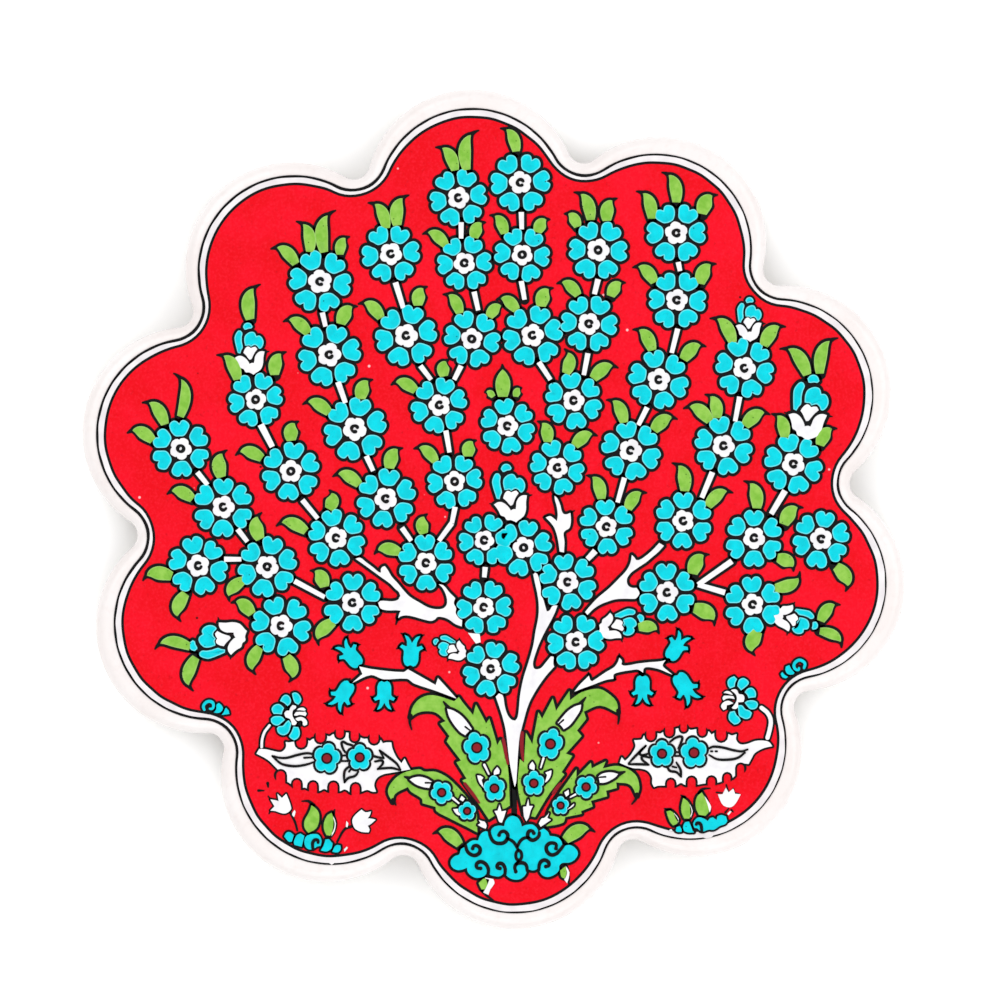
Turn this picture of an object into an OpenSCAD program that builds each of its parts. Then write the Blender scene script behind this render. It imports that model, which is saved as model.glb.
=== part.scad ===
// Ten-lobed ceramic plate: a pressed clay slab on a foot ring, white glaze over it, and a garden of
// blossoms, buds and toothed leaves in raised enamel. Millimetres, +Z up, standing on its foot.

/* [Plate] */
// Distance from the middle of the plate to the middle of each lobe
lobe_reach = 68; // [67:0.5:70]
// Radius of each lobe
lobe_r = 23; // [22:0.1:24]
// Radius of the hollow between two lobes
notch_r = 3.5; // [2.5:0.5:6]
// Thickness of the clay slab
slab_t = 7.5; // [6:0.5:10]
// Width of the rounded edge, seen from above
edge_w = 2.4; // [1.6:0.2:3]
// Height of the rounded edge
edge_h = 3; // [2:0.5:4]

/* [Foot ring] */
// Outer diameter of the foot ring
foot_d = 120; // [100:5:130]
// Width of the foot ring's wall
foot_w = 5; // [4:0.5:8]
// Height of the foot ring
foot_h = 5; // [4.5:0.5:6]
// Diameter of the two holes for a hanging wire
wire_hole_d = 2.4; // [2:0.2:2.8]
// Angle between the two wire holes
wire_hole_gap = 24; // [16:2:40]

/* [Glaze and enamel] */
// Thickness of the white glaze
glaze_t = 0.4; // [0.3:0.05:0.6]
// Thickness of one coat of enamel
enamel_t = 0.15; // [0.1:0.05:0.2]
// Width of the black outline round each motif
ink_w = 0.6; // [0.4:0.05:0.7]

/* [Border] */
// Distance from the middle of the plate to the middle of each lobe of the border
border_reach = 66; // [65:0.1:66.5]
// Radius of each lobe of the border
border_r = 21; // [20:0.1:21.5]
// Radius of the border's hollows
border_notch_r = 7; // [6:0.1:8]
// Width of the outer black line
outer_line_w = 0.55; // [0.4:0.05:0.8]
// Width of the white band between the lines
band_w = 1.2; // [0.9:0.1:1.5]
// Width of the inner black line
inner_line_w = 0.6; // [0.4:0.05:0.8]

/* [Hidden] */

lobe_count = 10;
lobe_step = 360 / lobe_count;
first_lobe = 22;
lobe_arc_steps = 8;
notch_arc_steps = 2;
edge_steps = 3;

slab_z = foot_h;
slab_top = slab_z + slab_t;
face_z = slab_top + glaze_t;
// Coats of enamel, counted up from the glaze
GROUND = 0;
INK = 1;
FILL = 2;
DETAIL = 3;

// Lobes on which the border was painted nearer the edge: which lobe, how much nearer
BORDER_NEARER = [[3, 1], [4, 1], [7, 0.6]];

// Blossoms: place, turn of the first petal, radius over the petals
BLOSSOMS = [
    [-7.6, 67.3, 9, 6.1], [5.8, 70.6, 2, 6.4], [-22.2, 55.2, 5, 6.3], [-6.3, 53.2, 5, 6],
    [6.2, 55, 55, 5.9], [22.6, 56, 56, 6.4], [39.5, 59.7, 0, 6.4], [39.6, 45.2, 59, 6.2],
    [-37.5, 49.2, 53, 6.7], [-67.6, 13.1, 32, 6.2], [-51.4, 23.7, 9, 5.9], [-58.4, 0.5, 30, 6.4],
    [-43.8, 8.2, 24, 6.3], [-35.5, 33.4, 12, 6.7], [-30, 17.4, 16, 6.7], [-18.9, 37.5, 12, 6.6],
    [-4.7, 36.8, 50, 6], [-11.7, 22.5, 16, 6.1], [-23.3, 2.3, 22, 6.4], [-8.4, 6, 6, 5.9],
    [8.4, 37.6, 12, 6.4], [20.6, 40.1, 58, 6.2], [17.3, 23.5, 37, 6.1], [3, 18, 40, 6],
    [35.7, 28, 43, 6.4], [29.6, 12.7, 42, 6.4], [13.8, 9, 45, 5.9], [24.4, -3.8, 33, 5.9],
    [54.2, 30.5, 46, 6.4], [49.7, 13.7, 40, 6.3], [64.8, 9.8, 44, 6.4], [41, -2.5, 29, 6.1],
    [-63.8, -12.2, 45, 6.3], [-48.9, -12.4, 18, 6.4], [-45.9, -25.2, 46, 6.4],
    [-34, -6.2, 40, 6.2], [-30.5, -20.2, 29, 6.2], [-14.6, -11.6, 32, 6.1], [-2, -6.7, 5, 5.6],
    [-2.1, -21.2, 4, 5.9], [-0.6, -34.5, 17, 6], [6.5, -8.3, 17, 6.1], [16, -15.7, 38, 6.1],
    [17.8, -28.7, 4, 6.1], [37.5, -18, 30, 6.2], [56.3, -6.2, 29, 6.2], [70.8, -6.4, 18, 6.2],
    [56, -20.6, 31, 6.1]
];

// Leaves: base, tip of the flick, width
LEAVES = [
    [-8.3, 73.2, -12.6, 78.2, 2.9], [-5.8, 73.3, -3.1, 81.9, 3], [-23.2, 60.7, -27.2, 66.2, 2.9],
    [-20.8, 61.3, -18.2, 67.9, 3.2], [-39.7, 55.6, -42.7, 62.2, 2.9], [-36.6, 55.5, -34, 64.6, 3.1],
    [-33.2, 55, -31, 58.9, 2.6], [-42.7, 53, -48.2, 56.2, 2.9], [-10.3, 57, -15.4, 59.4, 2.8],
    [-4.2, 58.6, -1.6, 62, 3], [4.9, 77.3, 1.4, 82.3, 2.8], [2.4, 59.5, -0.9, 63.5, 2.8],
    [9.5, 59.8, 12.3, 62.6, 3], [18.2, 61, 15.2, 63.8, 2.7], [21, 62.5, 17.3, 68.5, 3],
    [24.5, 62.3, 26.8, 67.2, 3.2], [34.2, 62.8, 30.8, 68.7, 3], [39.5, 66.3, 36.3, 72.8, 3],
    [45, 63.8, 48.5, 67.9, 3.6], [34.8, 49, 30, 52.2, 3], [44.6, 48.7, 48.2, 53, 3.4],
    [18.3, 46.2, 13.6, 48.7, 2.8], [25.3, 46, 28.6, 48.9, 3], [5, 43, 0.5, 45.2, 2.9],
    [10.3, 43.8, 13, 47.8, 3.4], [-7.3, 42.3, -11, 46.4, 2.8], [-1, 41.5, 2.6, 43.8, 2.8],
    [-24.3, 41.3, -29.3, 44.3, 3], [-16.3, 44, -14.2, 48.1, 3.2], [-71, 18.3, -76, 23, 3],
    [-67.7, 20, -69.2, 29.4, 2.6], [-73.6, 14.8, -79.2, 16.4, 3], [-65, 2.2, -70.6, 3.2, 3],
    [-58.8, 6.9, -57.5, 12.8, 3.4], [-55.3, 28, -59.9, 33.3, 3], [-47.3, 29, -44.7, 34, 3.2],
    [-52.6, 41, -50.3, 48.6, 3.2], [-50, 11, -55.8, 11.6, 3], [-43.7, 14.8, -42, 19, 3.4],
    [-40, 38, -45.5, 40.5, 3], [-33, 40, -29.3, 43.8, 3.4], [-35.5, 20.8, -41.3, 22.6, 3],
    [-28.7, 23.8, -26, 28, 3.4], [-29, 5.3, -34.8, 7, 3], [-22.5, 8.8, -19.5, 13.2, 3.4],
    [-16.8, 25.6, -22.2, 26.8, 2.9], [-10.7, 28.7, -9.5, 32.4, 3], [-12.5, 10.3, -17.3, 13, 2.8],
    [-5.5, 11.4, -3.6, 14.9, 3.2], [-35.6, 0, -35.6, 4.2, 3.2], [2, 24.3, 1.9, 31.4, 3.6],
    [15.6, 29.3, 15.2, 34.7, 3], [21.5, 28.2, 27, 30.5, 3.2], [34.3, 34.3, 30, 38.8, 3.1],
    [41, 32.3, 46, 35.1, 3.2], [28.2, 18.7, 24.3, 23.6, 3], [34.6, 17, 39.8, 19.4, 3.3],
    [11.7, 14.5, 9.4, 19, 3], [17.5, 13.7, 22.5, 15.8, 3.1], [23.3, 2.2, 20, 7.3, 3],
    [29, 0, 33.2, 3.5, 3], [46.8, 19, 41, 21.7, 3.2], [41.3, 3.9, 38.5, 10, 3.2],
    [51.7, 36, 46.7, 41.2, 3.1], [58.4, 35.3, 63.2, 39.4, 3.3], [48.3, 19.7, 45.6, 24.8, 3],
    [54.3, 18, 59.8, 20.4, 3.3], [62.9, 15.5, 60, 20.6, 3], [70.5, 13.8, 74.3, 17.4, 3.2],
    [67.8, 29, 61.8, 34.6, 3.2], [70.5, 29.3, 74.5, 37, 3], [56.9, 0.2, 54, 6.1, 3.2],
    [46.3, 0.6, 51.8, 3.5, 3], [62.7, -3.3, 67, 0.3, 3.5], [-65.5, -29.8, -73.2, -30.3, 2.7],
    [-64.3, -32, -64.8, -39.3, 3], [-50.5, -29.8, -51.3, -35.8, 3], [-44.8, -31.8, -44.3, -37.4, 3.2],
    [-52.2, -22.7, -56.8, -20.3, 3.2], [-54, -15.3, -57, -20, 3], [-69.5, -14.5, -75.8, -15.5, 3.3],
    [-66.5, -18.2, -67.5, -24.3, 3.2], [-50.4, -6.5, -50, -0.7, 3.4], [-40.5, -4.8, -47, -3.7, 3],
    [-36.5, -16.8, -39.7, -13.3, 3.4], [-34.5, -24.3, -37.7, -29.5, 3.2], [-20.3, -9.3, -25.8, -9.8, 3],
    [-15, -5.3, -14.2, -1, 3], [43, -14, 46.7, -9.8, 3.6], [43.3, -21.3, 47.7, -25.3, 3.6],
    [74, -12.3, 76, -17.8, 3.4], [61.3, -10.5, 64.8, -13.5, 3.2], [60.8, -17, 66.2, -13.4, 3],
    [57.2, -26.3, 56.6, -31.7, 3.5], [70.7, -24.2, 75, -20.7, 2.9], [70.5, -26.3, 75.2, -30, 2.5],
    [31.3, -25.5, 35.8, -27, 2.8], [-7.3, -72.5, -13.2, -70.2, 3], [15.5, -71.5, 22, -69.8, 3.2]
];

// Plump leaves of the lower corners: outline
CORNER_LEAVES = [
    [[-39.3, -64], [-38.2, -64.9], [-37.7, -66], [-37.8, -67.7], [-38.4, -69], [-40, -69.9],
     [-40.8, -68.8], [-40.8, -67.3], [-40, -65.8], [-39.6, -64.9]],
    [[-35, -65.6], [-34.6, -66.8], [-34.3, -68.1], [-34.7, -69.6], [-35.3, -70.5], [-36.1, -70.4],
     [-36.6, -69.2], [-36.6, -67.7], [-35.9, -66.2]],
    [[37.4, -65.3], [38.3, -65.2], [39.3, -66.1], [40, -67.2], [39.6, -67.9], [38.8, -68.3],
     [38.2, -67.6], [37.7, -66.4]],
    [[41, -62.4], [42, -63.2], [42.6, -64.4], [42.8, -65.5], [42.3, -66.8], [41.2, -66.8],
     [40.7, -65.6], [40.6, -64.2]],
    [[45, -61.2], [45.7, -62.4], [46.3, -64], [46.5, -65.3], [45.8, -66.2], [44.4, -66],
     [43.8, -64.7], [43.7, -63.2], [44.1, -62]],
    [[-2.8, -80.4], [-2, -79.8], [-0.9, -80], [-1.3, -81.1], [-1.8, -82.1], [-2.6, -82.1],
     [-3.2, -80.8]],
    [[14.4, -78.1], [15.5, -77.2], [15.9, -78.5], [15.5, -79.8], [14.7, -79.4]]
];

// Stems: start, end, width of the white core
STEMS = [
    [-7, 62, -7, 58.5, 1.1], [-4.2, 47, -3.3, 43, 1.1], [-21.2, 49, -19.5, 43.5, 1.2],
    [-37, 42.5, -36.3, 39.5, 1.1], [-50.3, 18.3, -47.8, 13.5, 1.4], [-64, 8, -61.8, 5.3, 1.1],
    [-33.6, 27.5, -32, 23, 1.2], [-41.3, 2, -38, -2, 1.1], [-27.5, 11.5, -26, 8.3, 1.1],
    [-15.8, 31, -13.5, 28, 1.1], [-7, 31, -8.5, 28, 1.1], [-10.3, 17, -9.5, 12.3, 1.1],
    [-8.3, 0.5, -9, -3, 1.1], [-9, -3, -11.8, -6.8, 1.1], [6, 64.2, 6.1, 60.5, 1.1],
    [6, 49.3, 6.7, 45.3, 1.1], [22.6, 49.7, 21.8, 46.5, 1.2], [39.9, 53.4, 40.3, 51.5, 1.1],
    [20.4, 33.7, 19.5, 29, 1.1], [9.8, 31.8, 12.3, 28, 1.1], [39.8, 39, 38.5, 33.8, 1.1],
    [33.2, 22, 31.3, 18.2, 1.1], [28.3, 6.8, 26.8, 1.5, 1.1],
    [47.3, 8, 45, 2.5, 1.2], [53.2, 24.3, 52.2, 19, 1.1],
    [63, 4, 60, -1, 1.3], [-55.3, -4.3, -53.2, -7, 1.1], [-58.2, -10.8, -54.5, -10.8, 1.1],
    [-19.8, -4, -17.8, -6.8, 1.1], [-43, -15.5, -36.5, -19, 1.1], [-1.8, -12.5, -2, -14.7, 1.1],
    [22, -9, 20.3, -10.8, 1.3], [51.5, -11.2, 44.2, -16.3, 1.2], [50, -18, 44.2, -16.3, 1.2]
];

// Half-open buds: base, tip, side that the loose petal hangs on
BUDS = [
    [-52, 29.2, -53, 40.3, 1], [55.3, 36.3, 55.5, 45.8, 1], [67.5, 15, 69.5, 29, 1],
    [-53.4, -26.5, -65.8, -29.5, 1], [4.7, -2.7, 2.8, 9.8, 1], [-6, -31.7, -13, -28.5, -1],
    [22.8, -26.5, 32.5, -23.5, 1], [60.5, -22.7, 70, -25.5, 1]
];
// Tip of a bud that grows out of [0, 0]
bud_tip = [-1.9, 12.5];

// Bell flowers: base, direction they hang in, size
BELLS = [
    [-28.8, -34, 130, 1], [-18, -34.2, 86, 1.05], [-30.8, -37.2, -122, 1.03], [-23.6, -36.9, -90, 0.97],
    [37.8, -32.6, 58, 1], [32.2, -35.7, -90, 0.98], [39.5, -35.4, -58, 1.1]
];

// Five-petalled flowers on the saz leaves: place, half width, half length, lean
SAZ_FLOWERS = [
    [-3.6, -51.5, 2.8, 3.4, 15], [0.2, -60.3, 2.3, 2.8, 5], [-11.2, -61.2, 2.3, 2.5, 30],
    [-5.7, -65.2, 1.9, 2, 0], [12.3, -50.7, 2.6, 3.4, -15], [8.7, -59.2, 2.3, 2.7, 0],
    [20, -60, 2.3, 2.5, -30], [14.5, -64, 1.8, 2, 0], [-36, -53.8, 2.85, 3.25, -10],
    [-28.9, -53.6, 2.55, 2.8, 0], [36.4, -52.8, 2.6, 2.85, 0], [43.3, -52.6, 2.85, 3.25, 8]
];

// The trunk with its foot, then the side branches
BRANCHES = [
    [[4.6, -60], [4.3, -58.8], [3.4, -54], [2.7, -48], [2, -45], [1.2, -42.5], [0.5, -40.5], [1.2, -39.8],
     [2, -40.3], [2.4, -42.5], [3, -44.4], [3.9, -45.5], [4.7, -45.7], [5.2, -45], [5.5, -43.2],
     [5.8, -40], [6.5, -36.5], [7.6, -33], [8.6, -29.5], [9.1, -26.4], [9.7, -23.3], [9.8, -20.7],
     [9.5, -18.3], [9, -16], [8.6, -14.1], [9, -13.7], [9.5, -14.1], [9.9, -15.5], [10.2, -17],
     [10.2, -18.5], [10.7, -19.4], [11.1, -20.8], [11.5, -22.1], [12.1, -21.9], [12.8, -20.9],
     [13.8, -20.8], [13.2, -22.4], [12.2, -24.4], [11, -26.6], [9.8, -29.1], [8.9, -31.6], [8.5, -33.2],
     [8.7, -34.3], [9.3, -34.6], [10.3, -34.3], [11.5, -32.9], [12.4, -31.8], [13, -31.9], [12.9, -33.4],
     [13.1, -34], [11.3, -36], [9.2, -39], [7.6, -42], [6.4, -46], [5.5, -50], [4.9, -58.8]],
    [[19.8, -22.2], [20.8, -21], [22.5, -19.2], [25, -17.1], [27.3, -14.8], [28.7, -13.3], [29.6, -11.6],
     [29.9, -9.9], [30.4, -10.4], [30.8, -11], [31.4, -11], [32.5, -10.4], [34.2, -9], [35.8, -7.3],
     [36.8, -7.9], [35.6, -9.2], [34.3, -10.3], [33, -11.4], [31.2, -12.6], [29.8, -13.6],
     [28.9, -14.8], [28.8, -15.8], [29.2, -16.6], [30, -17], [30.9, -17], [31.3, -17.6], [31.5, -18.2],
     [31.1, -18.9], [30.6, -19.3], [28.5, -19.3], [26.5, -19.4], [25, -19.8], [23, -20.6], [21.5, -21.6],
     [20.3, -22.8]],
    [[-29.8, -10.7], [-28.8, -10.5], [-27.6, -11.4], [-26, -12.6], [-24.8, -13.6], [-24.3, -13.7],
     [-24.3, -12.9], [-24, -12.5], [-23.5, -12.3], [-22.9, -13.1], [-22, -14.6], [-20.8, -15.9],
     [-19.3, -17.7], [-18, -19], [-16, -20.2], [-14.2, -21.2], [-12.6, -21.6], [-11, -21.5],
     [-10.2, -20.8], [-10, -19.8], [-10.3, -18.4], [-11, -17], [-11.8, -16.2], [-10.8, -16.5],
     [-9.6, -17.9], [-8.3, -19.2], [-8.6, -20.3], [-8.1, -21.4], [-8.2, -22.4], [-7.6, -23.4],
     [-6.8, -24], [-6.9, -25.3], [-8.2, -24.8], [-10, -23.6], [-12, -23.2], [-12.7, -23.8],
     [-13.5, -24.1], [-15, -23.8], [-17.5, -23.1], [-19, -22.9], [-20, -23.1], [-20.6, -23.5],
     [-20.3, -22.5], [-20, -21.9], [-21, -21.8], [-23, -21.8], [-24.4, -21.4], [-24.9, -20.2],
     [-24.3, -19.8], [-22, -19.9], [-20.7, -19.6], [-20.1, -18.7], [-20.5, -17.8], [-21.2, -17.2],
     [-22.4, -16], [-24.5, -14.5], [-26, -13.4], [-28.5, -11.6]],
    [[-29, -34], [-26, -34.6], [-19.5, -35.2], [-18.5, -34.6], [-12.5, -38], [-12, -36.5],
     [-8, -40.9], [-12.5, -39.2], [-17.2, -37.6], [-18.7, -36.6], [-23.8, -36.7], [-26.5, -35.8],
     [-30.5, -37.5], [-28.3, -35.6]],
    [[17.5, -39.4], [18.6, -38], [19.8, -36.8], [20.6, -36], [20.9, -36.9], [21.3, -37.2], [22.4, -36.5],
     [24.3, -35.2], [26.1, -34.1], [26.9, -33], [27.2, -32.1], [27.7, -32.7], [27.6, -33.5],
     [28.1, -33.8], [29.5, -33.7], [31, -33.4], [33.5, -33.1], [36, -32.9], [37.2, -32.6],
     [36.6, -33.4], [36.6, -34], [37.5, -34.8], [38.6, -35.7], [37.4, -35.2], [36, -34.6], [34.4, -34.2],
     [33, -34.1], [32.4, -34.5], [32.3, -35.3], [31.8, -34.9], [31.1, -34.6], [30, -34.7], [28, -35],
     [26.4, -35.4], [25.9, -35.8], [25.9, -36.6], [24.5, -36.8], [23, -37.3], [21.5, -37.9],
     [19.5, -38.6]],
    [[13.2, 2.9], [13.8, 2.3], [14.4, 0.9], [14.7, -0.3], [15.1, -1], [15.8, -1.1], [16.6, -0.8],
     [16.7, -2.3], [16.6, -3.3], [16.3, -4.1], [15.5, -4.6], [15.1, -5.2], [15.3, -7], [15.2, -9.3],
     [14.3, -9.1], [14.1, -7.5], [13.7, -5.5], [13.1, -3.9], [12.3, -2.8], [11.3, -1.8],
     [12.2, -1.5], [12.9, -1.9], [13.7, -2.6], [13.9, -1.3], [13.7, 0.5], [13.3, 2]]
];

// Toothed green leaves: tip first, round the outer side and back along the inner side
GREEN_SAZ = [
    [[-18, -45], [-17.3, -42.5], [-15.5, -40.7], [-13, -40.2], [-8.5, -41.5], [-7.5, -40.6],
     [-6.5, -42], [-4.4, -44.5], [-3.8, -42.2], [-1.6, -46.3], [-0.9, -45.3], [0.8, -51],
     [1.5, -49.8], [3, -55], [3.5, -64], [-1, -67], [-5, -61], [-6.7, -58.6], [-5.8, -58.2],
     [-8, -54.7], [-7, -54.3], [-10.1, -50.2], [-9.5, -49], [-11.5, -46.3], [-10.3, -45.8],
     [-12.3, -44], [-14.5, -43.6], [-16.5, -44]],
    [[-21.8, -63.3], [-22.8, -61], [-21.8, -58.8], [-19.5, -57], [-16, -56.2], [-15, -56.7],
     [-12.3, -56.8], [-9, -58.8], [-4, -65], [-3.5, -69.8], [-6, -68.5], [-10, -66.5],
     [-12.3, -65.2], [-12.5, -64.3], [-15.3, -63.5], [-15.5, -62.5], [-17.8, -61],
     [-18.5, -60], [-21.3, -61.5]],
    [[26.9, -44], [26.5, -41.5], [24, -39.3], [22.3, -38.8], [19, -39.6], [16.5, -41.3],
     [16.4, -39.3], [13.5, -43.6], [12.8, -40.9], [10.5, -45.3], [9.7, -43.9], [8.4, -50.8],
     [7, -48.3], [6.6, -54.8], [5.7, -54], [5.3, -60], [6.5, -66], [9, -66.5], [12, -61.5],
     [15.3, -57.3], [14.7, -56.8], [17, -53.3], [15.6, -52.8], [19, -49], [18, -47.8],
     [20, -45.3], [19.5, -43.7], [23, -42.4]],
    [[31, -62], [31.5, -60], [30.5, -57.2], [27, -55.5], [23.6, -56], [24.2, -54.5],
     [21.2, -56], [21, -54.8], [17.9, -58], [17.9, -56.2], [12, -65], [11.5, -68.5],
     [15, -67.7], [15.5, -66.5], [19, -65.8], [18.9, -65.2], [21.4, -64.2], [21, -63],
     [24.5, -62], [24.3, -60.8], [26.6, -60.2], [26.5, -59], [29.5, -59.5]]
];

// White scalloped leaves: outline, then the round bites out of it as place and radius
WHITE_SAZ = [
    [[-51.2, -52.8], [-50.6, -51.8], [-49.1, -51.9], [-47.4, -52.3], [-46, -52.5], [-45.2, -52],
     [-44.8, -51.2], [-44.9, -50.3], [-44.2, -50.4], [-43.6, -50.3], [-41.6, -50], [-40.4, -49.8],
     [-39.7, -50.1], [-38.9, -49.6], [-38.2, -49.8], [-36.3, -48.9], [-35.4, -49.1], [-34.6, -48.6],
     [-33.8, -48.9], [-32, -48.3], [-31.1, -48.4], [-30.6, -48.9], [-29, -49.2], [-28.1, -49.6],
     [-27.3, -49.6], [-26.7, -49.8], [-24.5, -49.7], [-23.9, -50.6], [-23.2, -50.4], [-22.1, -50.4],
     [-21.9, -51.6], [-21, -53.6], [-19.9, -54.9], [-19.2, -53.9], [-18.7, -55], [-18, -56.2],
     [-20.3, -56.6], [-22.6, -57], [-23.7, -57.2], [-24.9, -57.8], [-25.6, -58.7], [-25.8, -59.8],
     [-25.4, -61], [-26.2, -61], [-27.3, -60.6], [-28.8, -61.1], [-30.8, -61.3], [-31.6, -60.7],
     [-32.3, -60.5], [-33.2, -60.9], [-35.7, -60.8], [-36.6, -60.4], [-37.8, -60.9], [-40.1, -60.4],
     [-40.8, -60.1], [-41.4, -60.2], [-43.6, -59.5], [-44.3, -59], [-45.4, -58.6], [-45.5, -57.5],
     [-46.7, -56.1], [-47.3, -55.5], [-48.4, -54.4], [-49.6, -53.6]],
    [[27.3, -54.8], [27.7, -53.6], [28.4, -54.4], [29.3, -53.6], [30.1, -52.5], [30.7, -51.2],
     [30.4, -49.9], [31.2, -49.9], [32.1, -49.7], [32.5, -48.9], [33.3, -49.6], [34.9, -48.8],
     [35.3, -48.4], [36, -48.5], [36.7, -48.1], [37.2, -48.5], [38.9, -47.7], [39.3, -47.5], [40, -47.3],
     [40.4, -47.8], [42.1, -47.5], [42.6, -47.7], [43.9, -47.5], [44.3, -48.2], [46.1, -48.3],
     [46.5, -48], [47.1, -48.7], [48.1, -48.1], [48.4, -48.6], [50.4, -49.1], [50.8, -48.6],
     [51.5, -48.9], [52.5, -48.6], [52.4, -49.8], [53.3, -50.8], [54.9, -50.7], [56.5, -50.1],
     [58.1, -50], [59.5, -50.3], [60.2, -51.2], [59.5, -51.3], [58.1, -51.7], [56.4, -52.7],
     [55.7, -53.9], [55.1, -55], [54, -54.9], [53.6, -56.8], [52.7, -57.1], [51.6, -58.1], [51, -57.6],
     [49.5, -58.7], [48.1, -59.1], [46, -59.2], [45.1, -59.3], [44, -59.5], [41.5, -59.6], [40.5, -59.1],
     [39.3, -59.7], [37.1, -59.7], [35.6, -59.7], [34.7, -60], [34.3, -59.2], [34.3, -57.9],
     [33.3, -56.5], [31.7, -56], [30.1, -55.9]]
];
WHITE_SAZ_BITES = [
    [-41.55, -50.5, 1.1], [-37.4, -49.4, 1.05], [-33.2, -48.6, 0.9], [-30, -49.3, 0.9],
    [-25.8, -49.7, 1], [-29.8, -60.2, 0.9], [-34.6, -59.9, 0.95], [-39, -59.8, 0.9],
    [-42.5, -59.3, 0.9], [-46, -57.5, 1], [34, -49, 1], [38, -48.2, 0.95], [41.1, -47.4, 0.75],
    [45.1, -48.2, 0.85], [49.2, -49, 1.1], [38.3, -59.2, 0.85], [42.8, -58.8, 0.9],
    [47.1, -58.7, 0.85], [50.5, -57.9, 0.75], [53.4, -55.9, 0.8]
];

// Petals and frills of the two half carnations
CARNATION_PETALS = [
    [[-43.5, -39.8], [-42.9, -39.6], [-42.2, -39.9], [-41.6, -40.9], [-41.7, -41.6], [-42.2, -42.2],
     [-42.9, -41.8], [-43.3, -40.9]],
    [[-46.1, -41.4], [-45.6, -40.5], [-44.9, -40.1], [-44.2, -40.4], [-43.8, -41.2], [-43.9, -41.9],
     [-44.5, -42.5], [-45.3, -41.8]],
    [[-47.9, -43], [-47.3, -42.3], [-46.4, -42.1], [-45.7, -42.5], [-45.3, -43], [-45.6, -43.6],
     [-45.8, -44.3], [-46.8, -44.2], [-47.5, -44.2], [-47.8, -43.7]],
    [[-48.1, -45.3], [-47.5, -44.8], [-46.7, -44.7], [-45.8, -44.8], [-45.1, -45.5], [-45.8, -46.1],
     [-46.6, -46.7], [-47.5, -46.5], [-48, -46]],
    [[-44.3, -45.6], [-43.7, -46.3], [-43.9, -47], [-44.1, -47.8], [-44.6, -48.5], [-45.5, -48.8],
     [-46.5, -48.3], [-46.8, -47.4], [-46.4, -46.9], [-45.5, -46.8], [-44.9, -46.1]],
    [[-43.2, -47], [-42.2, -47.1], [-41.9, -48], [-42, -49], [-42.5, -49.6], [-43.1, -49.9],
     [-43.9, -49.4], [-44.2, -49], [-43.7, -48.2]],
    [[50.6, -37.2], [51.1, -36.5], [52, -36.1], [52.6, -36.7], [52.2, -37.5], [52.1, -38.3],
     [51.1, -38.7], [50.7, -38.1]],
    [[52.9, -37.2], [53.3, -36.7], [54.1, -36.5], [55, -37.1], [55.1, -37.7], [54.3, -38.5],
     [53.5, -39.1], [53, -38.5], [52.7, -38.2]],
    [[54.3, -39.5], [54.9, -38.8], [55.8, -38.6], [56.5, -39.2], [56.7, -40], [56.6, -40.6],
     [55.6, -40.7], [55.1, -40.8], [54.9, -40.2]],
    [[54.3, -41.8], [54.9, -41.4], [55.9, -41.3], [56.8, -41.6], [57.1, -42.2], [56.7, -43],
     [55.6, -43.2], [54.9, -42.6]],
    [[52.8, -42.4], [53.7, -42.4], [54.4, -43.2], [55.3, -43.5], [55.8, -44], [55.4, -45],
     [54.5, -45.3], [53.7, -45], [53.1, -44.6], [52.9, -43.4]],
    [[51.1, -43.8], [52.1, -43.6], [52.5, -44.5], [53, -44.9], [53.4, -45.7], [52.8, -46.3],
     [52, -46.5], [51, -45.6], [50.8, -44.7]]
];
CARNATION_FRILLS = [
    [[-45.2, -44.1], [-44.8, -43.6], [-44.1, -43.5], [-43.9, -42.9], [-43.4, -42.3], [-42.7, -42.5],
     [-42.7, -42.9], [-43.3, -43.4], [-43.5, -44.1], [-43.4, -44.8], [-43, -45.5], [-42.5, -46.1],
     [-42.9, -46.6], [-43.5, -46.6], [-43.9, -45.4], [-44.4, -45.1], [-44.9, -44.9]],
    [[-42.5, -43.4], [-42, -43], [-41.1, -42.9], [-40.6, -43.3], [-40.8, -43.5], [-41.8, -43.4]],
    [[-43.1, -44.5], [-42.8, -44], [-42.5, -43.8], [-41, -43.8], [-40.7, -43.7], [-40.4, -44.2],
     [-40.7, -44.7], [-41.2, -44.5], [-42, -44.4], [-42.6, -44.6]],
    [[-42.8, -45.3], [-42.3, -45], [-41.5, -44.9], [-40.7, -45.3], [-40.3, -45.9], [-40.3, -46.5],
     [-40.9, -46.8], [-41.2, -46.5], [-41.2, -46], [-41.6, -45.6], [-42.3, -45.7]],
    [[51.3, -39.1], [52, -38.9], [52.6, -39.1], [53, -39.9], [53.9, -40.1], [54.2, -40.8],
     [54, -41.6], [52.8, -41.7], [52.8, -42.7], [52.4, -43.1], [51.8, -43.1], [51.5, -42.9],
     [52.1, -42.2], [52.5, -41.5], [52.6, -40.6], [52.2, -39.8]],
    [[49.7, -39.7], [50.3, -39.3], [51, -39.4], [51.7, -40.1], [50.9, -39.9], [50.2, -39.7]],
    [[49.5, -40.8], [49.8, -40.3], [50.8, -40.3], [51.8, -40.4], [52.1, -41], [51.1, -40.8],
     [50.3, -40.9], [49.7, -41.3]],
    [[49.2, -42.7], [49.3, -42.2], [49.9, -41.6], [50.8, -41.4], [51.8, -41.9], [51, -42.2],
     [50.4, -42.3], [50.3, -43.1], [49.7, -43.4]]
];
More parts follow.
